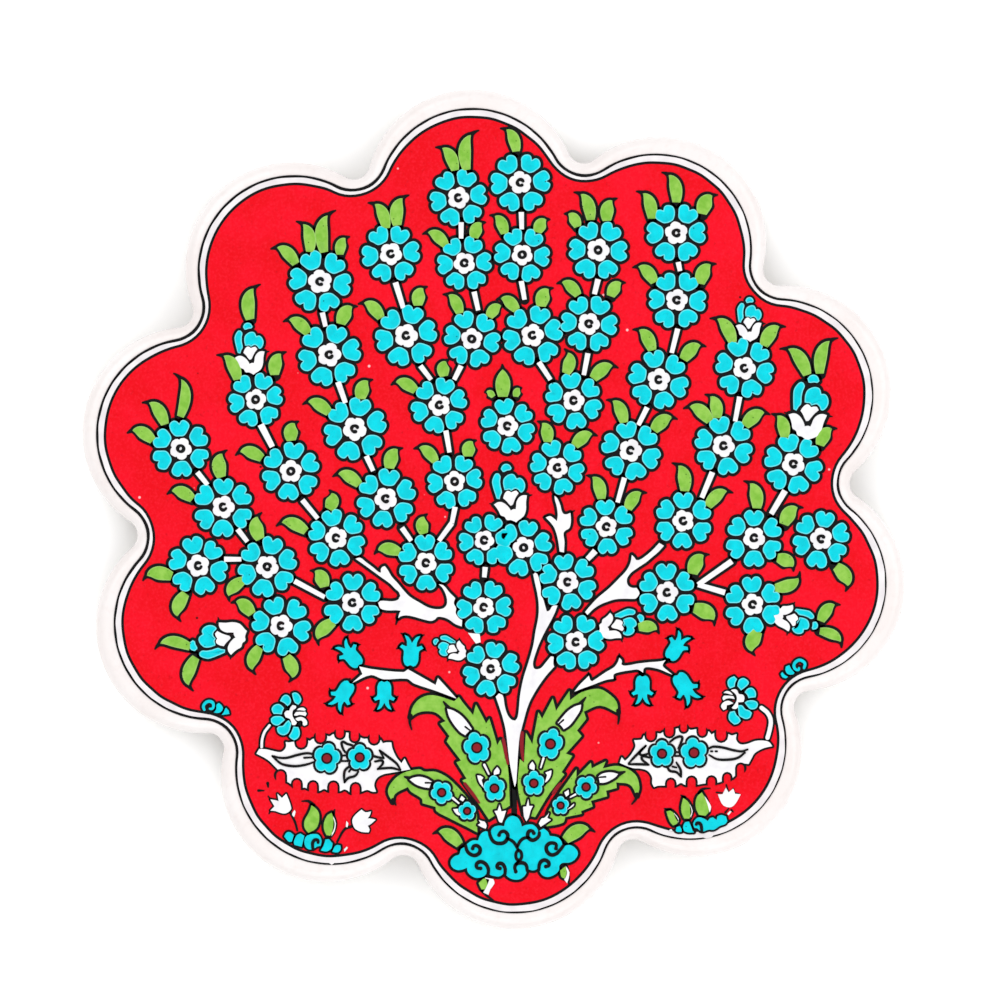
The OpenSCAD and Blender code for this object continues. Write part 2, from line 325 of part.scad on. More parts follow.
// The cloud scroll, then the small mounds at its sides
CLOUDS = [
    [[2.3, -68.5], [2.7, -67.2], [3.8, -66.3], [5.1, -66.6], [5.8, -67.6], [6.1, -68.6],
     [7.2, -68.2], [8.5, -68.2], [9.4, -69], [9.7, -69.9], [10.1, -69.4], [10.8, -69],
     [11.7, -69.7], [12.1, -70.6], [13, -70.7], [14, -71], [14.7, -71.9], [14.9, -73.1],
     [15.6, -72.7], [16.6, -72.6], [17.7, -73.3], [18.2, -74.4], [17.6, -75.6], [16.4, -76.3],
     [14.9, -76.4], [14.2, -77], [14.1, -78], [13.2, -78.9], [11.9, -79.4], [10.8, -79.2],
     [10.1, -78.4], [9.8, -77.2], [9.2, -77.8], [8.5, -78], [7.7, -77.8], [7.1, -77.4], [7, -78.7],
     [6.1, -79.7], [5.1, -80], [3.8, -79.8], [2.7, -79], [2.3, -78.2], [2, -78.8], [1.2, -79.3],
     [0.1, -79.2], [-0.8, -78.9], [-1.2, -78.1], [-1.5, -78.7], [-2.4, -79.4], [-3.8, -79.6],
     [-5, -79], [-5.6, -78.2], [-5.7, -77.4], [-6.7, -77.8], [-7.9, -77.9], [-9, -77.2],
     [-9.2, -76], [-8.4, -75], [-7.4, -74.6], [-7, -73.5], [-6.1, -72.9], [-5.5, -72.2],
     [-4.5, -71.6], [-3.3, -71.6], [-2.8, -70.3], [-1.8, -69.6], [-1.1, -69.8], [-0.7, -70.2],
     [-0.2, -68.9], [1, -68.4]],
    [[-45.2, -70.7], [-44.7, -69.9], [-44, -69.8], [-43.2, -70.4], [-43.6, -71.8], [-44.2, -71.8]],
    [[-43.1, -71.8], [-42.5, -70.5], [-41.7, -70.1], [-40.9, -70.6], [-41.2, -71.8], [-41.5, -72.9],
     [-43, -72.5]],
    [[-40.8, -71.4], [-40.2, -70.5], [-38.9, -70.2], [-37.8, -70.4], [-37.2, -71.6], [-37.4, -72.7],
     [-38.2, -72.9], [-39, -73.4], [-40, -73.4], [-40.7, -72.7]],
    [[-37.3, -73.7], [-36.7, -72.7], [-36.3, -71.4], [-35.6, -71.3], [-34.8, -72.2], [-35.1, -73.3],
     [-36.1, -73.9]],
    [[-34.8, -74], [-34.4, -73.1], [-33.9, -72.6], [-33.1, -72.7], [-33.1, -73.5], [-33.7, -74.1]],
    [[39.4, -69.5], [39.6, -68.7], [40.2, -68.5], [40.6, -69.2], [40.6, -69.7], [39.8, -69.7]],
    [[41, -68.7], [41.4, -67.7], [42.2, -67.5], [42.6, -68.4], [43, -69.5], [43.3, -69.8],
     [42, -69.8], [41.2, -69.5]],
    [[43.2, -68], [43.6, -67.1], [44.4, -66.6], [45.5, -66.9], [46.3, -67.4], [46.8, -66.8],
     [47.4, -66.6], [48.2, -67.2], [48.4, -66.4], [49.2, -66.1], [50.2, -66.4], [50.5, -67.4],
     [50, -68], [48.9, -68.4], [47.6, -69.2], [46.5, -69.2], [45, -69.6], [44, -68.9], [43.4, -68.8]],
    [[-59.8, -42.2], [-59.3, -41.9], [-58.7, -42.5], [-58.5, -43.1], [-59, -43.8], [-59.7, -44],
     [-60.4, -43.9], [-59.9, -43.2]],
    [[-58, -43.2], [-57.8, -42.9], [-57.3, -43.5], [-57.1, -44.2], [-57.8, -44.3], [-58.7, -44.4],
     [-58.3, -43.9]],
    [[63.2, -34], [63.9, -33.7], [64.3, -34.5], [65, -35.3], [64.8, -35.6], [64, -35.7],
     [63.4, -35.4], [63.1, -34.7]],
    [[62.1, -35.6], [62.4, -35.2], [62.9, -35.8], [63.6, -36.2], [63.1, -36.5], [62.4, -36.2]]
];
// Middle lines of the two side scrolls
SCROLLS = [
    [[-62.5, -43.3], [-62.7, -42.6], [-62.2, -41.8], [-61.4, -41.5], [-60.7, -41.8], [-60.5, -42.5],
     [-60.8, -43.1], [-61.3, -43.1]],
    [[67.1, -34.3], [67.3, -33.4], [66.8, -32.8], [66, -32.6], [65.2, -33.1], [64.9, -33.9],
     [65.3, -34.6], [65.9, -34.7], [66, -34.3]]
];
// Middle lines of the black curls on the cloud and the mounds
CURLS = [
    [[-0.9, -69.7], [-0.7, -70.6], [-0.1, -71.7], [1, -72.2], [2.3, -72], [3, -71.1], [3, -70.2],
     [2.3, -69.6], [1.5, -69.8], [1.2, -70.4]],
    [[9.9, -69.9], [9.8, -70.6], [9.1, -71.3], [8.3, -71.5], [7.5, -70.9], [7.4, -70.1],
     [7.8, -69.5], [8.5, -69.6], [8.7, -70]],
    [[-6, -72.7], [-5.8, -73.6], [-5.2, -74.4], [-4.1, -74.8], [-3.1, -74.3], [-2.9, -73.4],
     [-3.5, -72.7], [-4.3, -72.8], [-4.5, -73.3]],
    [[15.1, -72.7], [14.4, -73.6], [13.6, -74.4], [12.5, -74.7], [11.6, -74], [11.4, -73],
     [11.9, -72.3], [12.7, -72.1], [13.5, -72.4], [13.5, -73.3]],
    [[-1.2, -79], [-1.1, -77.9], [-1.5, -76.9], [-2.2, -76.3], [-3.1, -76.2], [-3.7, -76.8],
     [-3.5, -77.5], [-2.8, -77.6]],
    [[2.5, -78.8], [2.5, -77.7], [2.1, -76.8], [1.3, -76.5], [0.8, -77], [0.9, -77.5], [1.4, -77.6]],
    [[7.3, -78.1], [7.1, -77], [6.6, -76.5], [5.7, -76.4], [4.9, -76.7], [4.6, -77.4], [4.8, -78.3]],
    [[9.8, -77.9], [9.9, -76.8], [10.3, -76.1], [11.1, -75.8], [11.9, -76.3], [11.9, -77],
     [11.3, -77.2]],
    [[3, -71.1], [4.2, -71.8], [4.9, -72.7], [5.3, -73.6]],
    [[7.6, -70.9], [6.5, -71.1], [5.7, -71.8], [5.2, -72.8]],
    [[5.4, -76], [4.9, -76.7]],
    [[-39, -73.6], [-39.1, -72.2], [-38.7, -71.5], [-38, -71.5], [-37.9, -72]],
    [[45, -69.7], [44.9, -68.5], [44.6, -67.9], [44, -67.8], [43.8, -68.1]]
];

// Tulips of the lower corners and the small calyxes above the cloud
TULIPS = [
    [[-48.2, -62.7], [-47.1, -62.9], [-46.4, -63.1], [-46.7, -61.5], [-45.7, -62.4], [-44.8, -61.5],
     [-44.3, -62.7], [-43.8, -64.2], [-43.8, -64.9], [-44.9, -65.7], [-46, -65.6], [-47.1, -65.2],
     [-48.2, -65.1], [-47.3, -64.2]],
    [[-30.5, -67.1], [-29.8, -66], [-28.5, -64.9], [-27.7, -65.5], [-26.5, -65.3], [-26.7, -66],
     [-27.2, -66.8], [-26.2, -66.9], [-25.5, -67.1], [-26.4, -67.9], [-27.2, -68.4], [-26.8, -69.2],
     [-27, -69.8], [-28.5, -69.7], [-29.8, -69.1], [-30.3, -68.3]],
    [[48.5, -61.6], [49.5, -61.6], [50.2, -60.2], [50.8, -61.2], [51.8, -60.4], [52.2, -61.5],
     [53.4, -61.6], [52.7, -62.9], [51.9, -64], [51, -64.4], [49.7, -64], [49, -62.9]],
    [[0.2, -65.2], [0.9, -65.1], [1.3, -63.8], [1.7, -65.3], [2.7, -65.1], [2.3, -66.4],
     [1.8, -67.7], [1.2, -67.5], [0.8, -66.3]],
    [[6.4, -64.3], [7.1, -64.2], [7.5, -62.6], [7.7, -64.1], [8.5, -64.1], [8, -65.1], [7.6, -66.6],
     [7.1, -67.4], [6.6, -66.4]],
    [[-3.4, -68.2], [-2.8, -67.8], [-3.2, -67.1], [-2.4, -67.4], [-1.9, -67.5], [-1.5, -68.4],
     [-1.7, -69], [-2.5, -68.7]],
    [[12.4, -67.1], [11.5, -67.7], [10.2, -68.6], [9.8, -67.9], [10.4, -66.8], [11, -66.7],
     [12, -65.6], [11.6, -66.7]]
];

function turned(p, a) = [p.x * cos(a) - p.y * sin(a), p.x * sin(a) + p.y * cos(a)];
function placed(points, at, a, size = 1) = [for (p = points) at + size * turned(p, a)];
function heading(from, to) = atan2(to.y - from.y, to.x - from.x);
function arc(at, r, from, to, steps) =
    [for (i = [0:steps]) at + turned([r, 0], from + (to - from) * i / steps)];
function past(a, from) = a < from ? past(a + 360, from) : a;

// How much farther out than its place a lobe is; pushed lists the lobes that are
function push(i, pushed) =
    let (k = (i + lobe_count) % lobe_count)
    max([0, for (p = pushed) if (p[0] == k) p[1]]);

// A lobe as [centre, radius]
function lobe(i, reach, r, pushed) =
    [turned([reach + push(i, pushed), 0], first_lobe + i * lobe_step), r];

// Centre of the circle that touches lobes a and b from outside
function hollow(a, b, r) =
    let (
        span = norm(b[0] - a[0]),
        ra = a[1] + r,
        rb = b[1] + r,
        along = (ra * ra - rb * rb + span * span) / (2 * span),
        out = sqrt(ra * ra - along * along)
    )
    a[0] + turned([along, -out], heading(a[0], b[0]));

// Closed outline of lobes joined by tangent hollows, moved inwards by inset
function lobed(reach, r, hollow_r, pushed, inset) = [
    for (i = [0:lobe_count - 1])
        let (
            before = lobe(i - 1, reach, r, pushed),
            here = lobe(i, reach, r, pushed),
            after = lobe(i + 1, reach, r, pushed),
            h0 = hollow(before, here, hollow_r),
            h1 = hollow(here, after, hollow_r),
            a0 = heading(here[0], h0),
            a1 = past(heading(here[0], h1), a0),
            b0 = past(heading(h1, here[0]), a1),
            b1 = past(heading(h1, after[0]), b0 - 360)
        )
        each concat(
            arc(here[0], here[1] - inset, a0, a1, lobe_arc_steps),
            arc(h1, hollow_r + inset, b0, b1, notch_arc_steps)
        )
];
function distinct(points) = [
    for (i = [0:len(points) - 1])
        if (norm(points[i] - points[(i + 1) % len(points)]) > 0.01) points[i]
];
function slab_outline(inset) = distinct(lobed(lobe_reach, lobe_r, notch_r, [], inset));
function border_outline(inset) =
    distinct(lobed(border_reach, border_r, border_notch_r, BORDER_NEARER, inset));

// Middle of the slab's box, which the whole plate is moved by
RIM = slab_outline(0);
mid = [
    max([for (p = RIM) p.x]) + min([for (p = RIM) p.x]),
    max([for (p = RIM) p.y]) + min([for (p = RIM) p.y])
] / 2;

// The lower corner of the edge is eased: how far in it starts, and how high the ease ends
ease_in = 1.8;
ease_h = 1.8;
// A point on the way, which leaves the ease a little round
ease_mid_in = 0.5;
ease_mid_h = 0.6;

// Section of the edge from the underside up to the face, as [inset, height]
function edge_section(skin) = concat(
    [[ease_in - skin / 2, slab_z], [ease_mid_in + (glaze_t - skin) / 2, slab_z + ease_mid_h]],
    [[glaze_t - skin, slab_z + ease_h]],
    [for (i = [0:edge_steps])
        let (a = 90 * i / edge_steps)
        [glaze_t - skin + edge_w * (1 - cos(a)), slab_top + skin - edge_h * (1 - sin(a))]]
);

// Closed surface that runs through one outline for each [inset, height] of a section
module lobed_shell(section) {
    rings = [for (s = section) [for (p = slab_outline(s[0])) [p.x, p.y, s[1]]]];
    n = len(rings[0]);
    m = len(rings);
    walls = [
        for (j = [0:m - 2])
            for (i = [0:n - 1])
                let (k = (i + 1) % n)
                each [
                    [j * n + i, (j + 1) * n + k, j * n + k],
                    [j * n + i, (j + 1) * n + i, (j + 1) * n + k]
                ]
    ];
    ends = [[for (i = [0:n - 1]) i], [for (i = [n - 1:-1:0]) (m - 1) * n + i]];
    polyhedron(points = [for (r = rings) each r], faces = concat(walls, ends), convexity = 6);
}

module centred() {
    translate([-mid.x, -mid.y, 0]) children();
}

module coat(level) {
    centred() translate([0, 0, face_z + level * enamel_t]) linear_extrude(enamel_t) children();
}

module bisque_body() {
    color("linen") centred() lobed_shell(edge_section(0));
}

// How far a cutter runs past the clay that it cuts
over = 1;

module foot_ring() {
    color("tan") difference() {
        cylinder(d = foot_d, h = foot_h, $fn = 96);
        translate([0, 0, -over]) cylinder(d = foot_d - 2 * foot_w, h = foot_h + 2 * over, $fn = 96);
        for (side = [-1, 1])
            rotate(90 + side * wire_hole_gap / 2)
                translate([foot_d / 2 - foot_w - over, 0, foot_h / 2])
                    rotate([0, 90, 0])
                        cylinder(d = wire_hole_d, h = foot_w + 2 * over, $fn = 32);
    }
}

// The glaze stops short of the underside; its section runs down the clay and back up outside
module glaze_coat() {
    last = len(edge_section(0)) - 1;
    inner = [for (i = [last:-1:1]) edge_section(0)[i]];
    outer = [for (i = [1:last]) edge_section(glaze_t)[i]];
    color("white") centred() lobed_shell(concat(inner, outer));
}

module inked(list) {
    for (p = list) offset(r = ink_w, $fn = 12) polygon(p);
}

module filled(list) {
    for (p = list) polygon(p);
}

module band(from, width) {
    difference() {
        polygon(border_outline(from));
        polygon(border_outline(from + width));
    }
}

module outer_border_line() {
    color("black") coat(GROUND) band(0, outer_line_w);
}

module white_border_band() {
    color("white") coat(GROUND) band(outer_line_w, band_w);
}

module inner_border_line() {
    color("black") coat(GROUND) band(outer_line_w + band_w, inner_line_w);
}

module red_ground() {
    color("crimson") coat(GROUND) polygon(border_outline(outer_line_w + band_w + inner_line_w));
}

module branch_outlines() {
    color("black") coat(INK) inked(BRANCHES);
}

module branches() {
    color("white") coat(FILL) filled(BRANCHES);
}

module bar(from, to, width) {
    half = turned([0, width / 2], heading(from, to));
    polygon([from - half, to - half, to + half, from + half]);
}

module stem_outlines() {
    color("black") coat(INK) for (s = STEMS) bar([s[0], s[1]], [s[2], s[3]], s[4] + 2 * ink_w);
}

module stems() {
    color("white") coat(FILL) for (s = STEMS) bar([s[0], s[1]], [s[2], s[3]], s[4]);
}

petal_count = 6;
petal_step = 360 / petal_count;
// Shares of a blossom's radius: where a petal's two round lobes sit, and how big they are
petal_lobe_out = 0.73;
petal_lobe_side = 0.13;
petal_lobe_r = 0.215;

module on_petals(b) {
    for (k = [0:petal_count - 1])
        translate([b[0], b[1]]) rotate(b[2] + k * petal_step) children();
}

// A petal is two round lobes side by side; the ink grows round them and fills the middle
module petal(reach, grow) {
    for (side = [-1, 1])
        translate([petal_lobe_out, side * petal_lobe_side] * reach)
            circle(petal_lobe_r * reach + grow, $fn = 24);
}

module blossom_outlines() {
    color("black") coat(INK)
        for (b = BLOSSOMS) {
            translate([b[0], b[1]]) circle(b[3] * petal_lobe_out, $fn = 48);
            on_petals(b) petal(b[3], ink_w);
        }
}

module blossom_petals() {
    color("turquoise") coat(FILL) for (b = BLOSSOMS) on_petals(b) petal(b[3], 0);
}

heart_r = 2.2;
ring_r = 1.1;
pip_r = 0.5;

module blossom_hearts() {
    color("white") coat(FILL) for (b = BLOSSOMS) translate([b[0], b[1]]) circle(heart_r, $fn = 24);
}

module blossom_rings() {
    color("black") coat(DETAIL)
        for (b = BLOSSOMS)
            translate([b[0], b[1]]) difference() {
                circle(ring_r, $fn = 24);
                circle(pip_r, $fn = 24);
            }
}

// An almond along +X from the origin: what two equal circles have in common
module almond(len, width) {
    r = (len * len + width * width) / (4 * width);
    intersection() {
        translate([len / 2, r - width / 2]) circle(r, $fn = 96);
        translate([len / 2, width / 2 - r]) circle(r, $fn = 96);
    }
}

// The green of a leaf stops short of the tip, where only the black flick runs on
flick_share = 0.2;
// Width of the green as a share of the leaf's width
green_share = 0.9;

module leaf(f, fill_share, grow) {
    from = [f[0], f[1]];
    to = [f[2], f[3]];
    translate(from) rotate(heading(from, to)) translate([-grow, 0])
        almond(norm(to - from) * fill_share + 2 * grow, f[4] * green_share + 2 * grow);
}

module leaf_outlines() {
    color("black") coat(INK) {
        for (f = LEAVES) leaf(f, 1, ink_w);
        inked(CORNER_LEAVES);
    }
}

module leaves() {
    color("yellowgreen") coat(FILL) {
        for (f = LEAVES) leaf(f, 1 - flick_share, 0);
        filled(CORNER_LEAVES);
    }
}

// Parts of a bud whose tip is at bud_tip: two white parts and three petals
CALYX = [
    [[-4.6, 3.7], [-3.8, 4.2], [-2.9, 4.2], [-1.9, 3.6], [-1.2, 2.8], [-1, 2.4], [-0.4, 2.7],
     [0.1, 2.7], [0.2, 3.3], [0.3, 4.3], [0.9, 5.3], [1.7, 5.7], [2.5, 5.7], [2.3, 4.2], [2.3, 2.7],
     [1.9, 1.4], [1.3, 0.8], [0.6, 0.3], [0.2, -0.1], [-0.4, 0.2], [-1, 0.4], [-1.8, 0.4],
     [-2.3, 1.1], [-3.1, 1.4], [-3.5, 2.2], [-4, 3]],
    [[-2.6, 5.1], [-2.3, 6], [-1.8, 6.6], [-1.3, 6.6], [-0.9, 6.3], [-0.3, 6.6], [0.2, 6.7],
     [0.7, 6.2], [0.1, 5.3], [-0.3, 4.4], [-0.6, 3.7], [-1, 3.5], [-1.4, 3.9], [-1.9, 4.5]]
];
BUD_PETALS = [
    [[-4.7, 9.7], [-4.2, 10.4], [-3.6, 10.4], [-3.2, 9.8], [-3.3, 8.9], [-3.2, 7.7], [-2.9, 6.4],
     [-3.2, 5.7], [-3.4, 4.9], [-4, 5], [-4.5, 6.5], [-4.9, 7.9], [-5, 8.7]],
    [[-2.3, 6.9], [-2.6, 8.1], [-2.5, 9.2], [-1.9, 9.9], [-1.1, 10.3], [-0.3, 10.2], [0.3, 9.3],
     [1, 9.5], [1.7, 9], [2.1, 8.1], [2, 7.1], [1.5, 6.4], [1.1, 6.4], [0.7, 6.9], [0, 7.2],
     [-0.6, 6.9], [-0.9, 6.7], [-1.3, 7], [-1.9, 6.9]],
    [[-3.1, 11.4], [-2.8, 12.1], [-2.1, 12.5], [-1.3, 12.3], [-0.8, 11.6], [-1.1, 11.2],
     [-1.7, 11.1], [-2.4, 10.8], [-2.7, 10.8]]
];

module on_buds() {
    for (b = BUDS)
        let (from = [b[0], b[1]], to = [b[2], b[3]])
            translate(from)
                rotate(heading(from, to) - heading([0, 0], [b[4] * bud_tip.x, bud_tip.y]))
                    scale(norm(to - from) / norm(bud_tip))
                        mirror([b[4] < 0 ? 1 : 0, 0]) children();
}

module bud_outlines() {
    color("black") coat(INK) on_buds() inked(concat(CALYX, BUD_PETALS));
}

module bud_calyxes() {
    color("white") coat(FILL) on_buds() filled(CALYX);
}

module bud_petals() {
    color("turquoise") coat(FILL) on_buds() filled(BUD_PETALS);
}

// Half of a bell that hangs along +X, on one side from its stalk to its tips
BELL_HALF = [
    [0.5, 0], [0.25, 0.6], [0.6, 1.15], [1.5, 1.5], [2.6, 1.5], [3.5, 1.6], [4.1, 2.4], [4.6, 2],
    [4.3, 1.2], [4.4, 0.95], [5.4, 1.05], [6.6, 1.6], [6.3, 0.9], [5.7, 0.4], [5, 0]
];
BELL = concat(BELL_HALF, [for (i = [len(BELL_HALF) - 2:-1:1]) [BELL_HALF[i].x, -BELL_HALF[i].y]]);

module bell_outlines() {
    color("black") coat(INK) inked([for (b = BELLS) placed(BELL, [b[0], b[1]], b[2], b[3])]);
}

module bell_flowers() {
    color("turquoise") coat(FILL) filled([for (b = BELLS) placed(BELL, [b[0], b[1]], b[2], b[3])]);
}

module saz_outlines() {
    color("black") coat(INK) inked(concat(GREEN_SAZ, WHITE_SAZ));
}

module green_saz_leaves() {
    color("yellowgreen") coat(FILL) filled(GREEN_SAZ);
}

module white_saz_leaves() {
    color("white") coat(FILL) difference() {
        filled(WHITE_SAZ);
        for (b = WHITE_SAZ_BITES) translate([b[0], b[1]]) circle(b[2], $fn = 24);
    }
}

// Depth of the waves round a flower, as a share of its radius, and its heart's share
wave = 0.1;
saz_heart_share = 0.3;

// A flower with five waves, as wide as rx and as long as ry, that stands on one of them
function five_lobed(rx, ry, grow) = [
    for (a = [0:18:342])
        let (r = 1 - wave + wave * cos(5 * a - 90)) [(rx * r + grow) * cos(a), (ry * r + grow) * sin(a)]
];

module saz_flower_outlines() {
    color("black") coat(DETAIL)
        for (f = SAZ_FLOWERS) polygon(placed(five_lobed(f[2], f[3], ink_w), [f[0], f[1]], f[4]));
}

module saz_flowers() {
    color("turquoise") coat(DETAIL + 1)
        for (f = SAZ_FLOWERS) polygon(placed(five_lobed(f[2], f[3], 0), [f[0], f[1]], f[4]));
}

module saz_flower_hearts() {
    color("brown") coat(DETAIL + 2)
        for (f = SAZ_FLOWERS) translate([f[0], f[1]]) circle(saz_heart_share * f[2], $fn = 24);
}

module carnation_outlines() {
    color("black") coat(INK) inked(concat(CARNATION_PETALS, CARNATION_FRILLS));
}

module carnation_petals() {
    color("turquoise") coat(FILL) filled(CARNATION_PETALS);
}

module carnation_frills() {
    color("white") coat(FILL) filled(CARNATION_FRILLS);
}

// A line of even width along its middle line
function across(line, i, side) =
    let (
        last = len(line) - 1,
        d = line[min(i + 1, last)] - line[max(i - 1, 0)]
    )
    line[i] + side * [-d.y, d.x] / norm(d);
function ribbon(line, width) = concat(
    [for (i = [0:len(line) - 1]) across(line, i, -width / 2)],
    [for (i = [len(line) - 1:-1:0]) across(line, i, width / 2)]
);

curl_w = 0.6;
scroll_w = 0.5;

module cloud_outlines() {
    color("black") coat(INK) {
        inked(CLOUDS);
        for (s = SCROLLS) polygon(ribbon(s, scroll_w + 2 * ink_w));
    }
}

module clouds() {
    color("turquoise") coat(FILL) {
        filled(CLOUDS);
        for (s = SCROLLS) polygon(ribbon(s, scroll_w));
    }
}

module cloud_spirals() {
    color("black") coat(DETAIL) for (c = CURLS) polygon(ribbon(c, curl_w));
}

module tulip_outlines() {
    color("black") coat(INK) inked(TULIPS);
}

module tulips() {
    color("white") coat(FILL) filled(TULIPS);
}

bisque_body();
foot_ring();
glaze_coat();
outer_border_line();
white_border_band();
inner_border_line();
red_ground();
branch_outlines();
branches();
stem_outlines();
stems();
blossom_outlines();
blossom_petals();
blossom_hearts();
blossom_rings();
leaf_outlines();
leaves();
bud_outlines();
bud_calyxes();
bud_petals();
bell_outlines();
bell_flowers();
saz_outlines();
green_saz_leaves();
white_saz_leaves();
saz_flower_outlines();
saz_flowers();
saz_flower_hearts();
carnation_outlines();
carnation_petals();
carnation_frills();
cloud_outlines();
clouds();
cloud_spirals();
tulip_outlines();
tulips();
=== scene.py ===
"""Looks of the ten-lobed ceramic plate: smooth clay and glaze, and its garden in raised enamel.

Places on the face are in millimetres on the drawing, whose middle is put over the middle of the
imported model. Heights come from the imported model's own coats.
"""

import math
import random

import bpy
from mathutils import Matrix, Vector
from mathutils.geometry import delaunay_2d_cdt


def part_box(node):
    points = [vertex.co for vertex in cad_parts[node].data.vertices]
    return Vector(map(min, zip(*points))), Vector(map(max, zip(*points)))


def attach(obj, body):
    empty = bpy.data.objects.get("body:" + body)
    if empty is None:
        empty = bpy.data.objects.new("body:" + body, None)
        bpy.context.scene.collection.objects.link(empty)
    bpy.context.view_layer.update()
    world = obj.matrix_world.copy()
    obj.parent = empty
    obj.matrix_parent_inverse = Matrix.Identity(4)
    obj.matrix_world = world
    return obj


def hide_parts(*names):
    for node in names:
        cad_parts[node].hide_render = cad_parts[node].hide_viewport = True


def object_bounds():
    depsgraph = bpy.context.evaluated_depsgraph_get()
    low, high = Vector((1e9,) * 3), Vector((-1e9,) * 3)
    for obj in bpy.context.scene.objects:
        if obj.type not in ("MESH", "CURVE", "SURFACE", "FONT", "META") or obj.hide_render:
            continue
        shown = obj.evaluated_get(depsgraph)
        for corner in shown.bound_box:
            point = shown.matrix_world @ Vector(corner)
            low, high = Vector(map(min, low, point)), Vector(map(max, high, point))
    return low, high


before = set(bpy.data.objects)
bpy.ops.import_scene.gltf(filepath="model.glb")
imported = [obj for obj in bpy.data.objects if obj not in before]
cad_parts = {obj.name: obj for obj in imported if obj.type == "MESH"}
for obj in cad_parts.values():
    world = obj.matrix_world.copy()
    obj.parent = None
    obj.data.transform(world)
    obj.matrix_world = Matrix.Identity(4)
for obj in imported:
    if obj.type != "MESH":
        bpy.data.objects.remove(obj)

CAD_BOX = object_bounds()
MM = 0.001

# Driving sizes of the outlines, in millimetres and degrees, the same as the model's
LOBE_COUNT = 10
LOBE_STEP = 360 / LOBE_COUNT
FIRST_LOBE = 22
LOBE_REACH, LOBE_R, NOTCH_R = 68.0, 23.0, 3.5
BORDER_REACH, BORDER_R, BORDER_NOTCH_R = 66.0, 21.0, 7.0
# Lobes on which the border was painted nearer the edge, and how much nearer
BORDER_NEARER = {3: 1.0, 4: 1.0, 7: 0.6}
EDGE_W, EDGE_H = 2.4, 3.0
EASE_IN, EASE_H, EASE_MID_IN, EASE_MID_H = 1.8, 1.8, 0.5, 0.6
GLAZE_T = 0.4
OUTER_LINE_W, BAND_W, INNER_LINE_W = 0.55, 1.2, 0.6
BORDER_W = OUTER_LINE_W + BAND_W + INNER_LINE_W
# Widths of the black outlines: round most motifs, small ones, the finest, small whites, and tulips
INK_W, FINE_INK_W, FINEST_INK_W, SPECK_INK_W, HAIRLINE_INK_W = 0.62, 0.55, 0.45, 0.4, 0.35
# Steps along the outlines, finer than the model's
LOBE_ARC_STEPS = 80
NOTCH_ARC_STEPS = 12
EDGE_STEPS = 8


BLOSSOMS = [
    (-7.6, 67.3, 9, 6.1), (5.8, 70.6, 2, 6.4), (-22.2, 55.2, 5, 6.3), (-6.3, 53.2, 5, 6),
    (6.2, 55, 55, 5.9), (22.6, 56, 56, 6.4), (39.5, 59.7, 0, 6.4), (39.6, 45.2, 59, 6.2),
    (-37.5, 49.2, 53, 6.7), (-67.6, 13.1, 32, 6.2), (-51.4, 23.7, 9, 5.9), (-58.4, 0.5, 30, 6.4),
    (-43.8, 8.2, 24, 6.3), (-35.5, 33.4, 12, 6.7), (-30, 17.4, 16, 6.7), (-18.9, 37.5, 12, 6.6),
    (-4.7, 36.8, 50, 6), (-11.7, 22.5, 16, 6.1), (-23.3, 2.3, 22, 6.4), (-8.4, 6, 6, 5.9),
    (8.4, 37.6, 12, 6.4), (20.6, 40.1, 58, 6.2), (17.3, 23.5, 37, 6.1), (3, 18, 40, 6),
    (35.7, 28, 43, 6.4), (29.6, 12.7, 42, 6.4), (13.8, 9, 45, 5.9), (24.4, -3.8, 33, 5.9),
    (54.2, 30.5, 46, 6.4), (49.7, 13.7, 40, 6.3), (64.8, 9.8, 44, 6.4), (41, -2.5, 29, 6.1),
    (-63.8, -12.2, 45, 6.3), (-48.9, -12.4, 18, 6.4), (-45.9, -25.2, 46, 6.4),
    (-34, -6.2, 40, 6.2), (-30.5, -20.2, 29, 6.2), (-14.6, -11.6, 32, 6.1), (-2, -6.7, 5, 5.6),
    (-2.1, -21.2, 4, 5.9), (-0.6, -34.5, 17, 6), (6.5, -8.3, 17, 6.1), (16, -15.7, 38, 6.1),
    (17.8, -28.7, 4, 6.1), (37.5, -18, 30, 6.2), (56.3, -6.2, 29, 6.2), (70.8, -6.4, 18, 6.2),
    (56, -20.6, 31, 6.1)
]

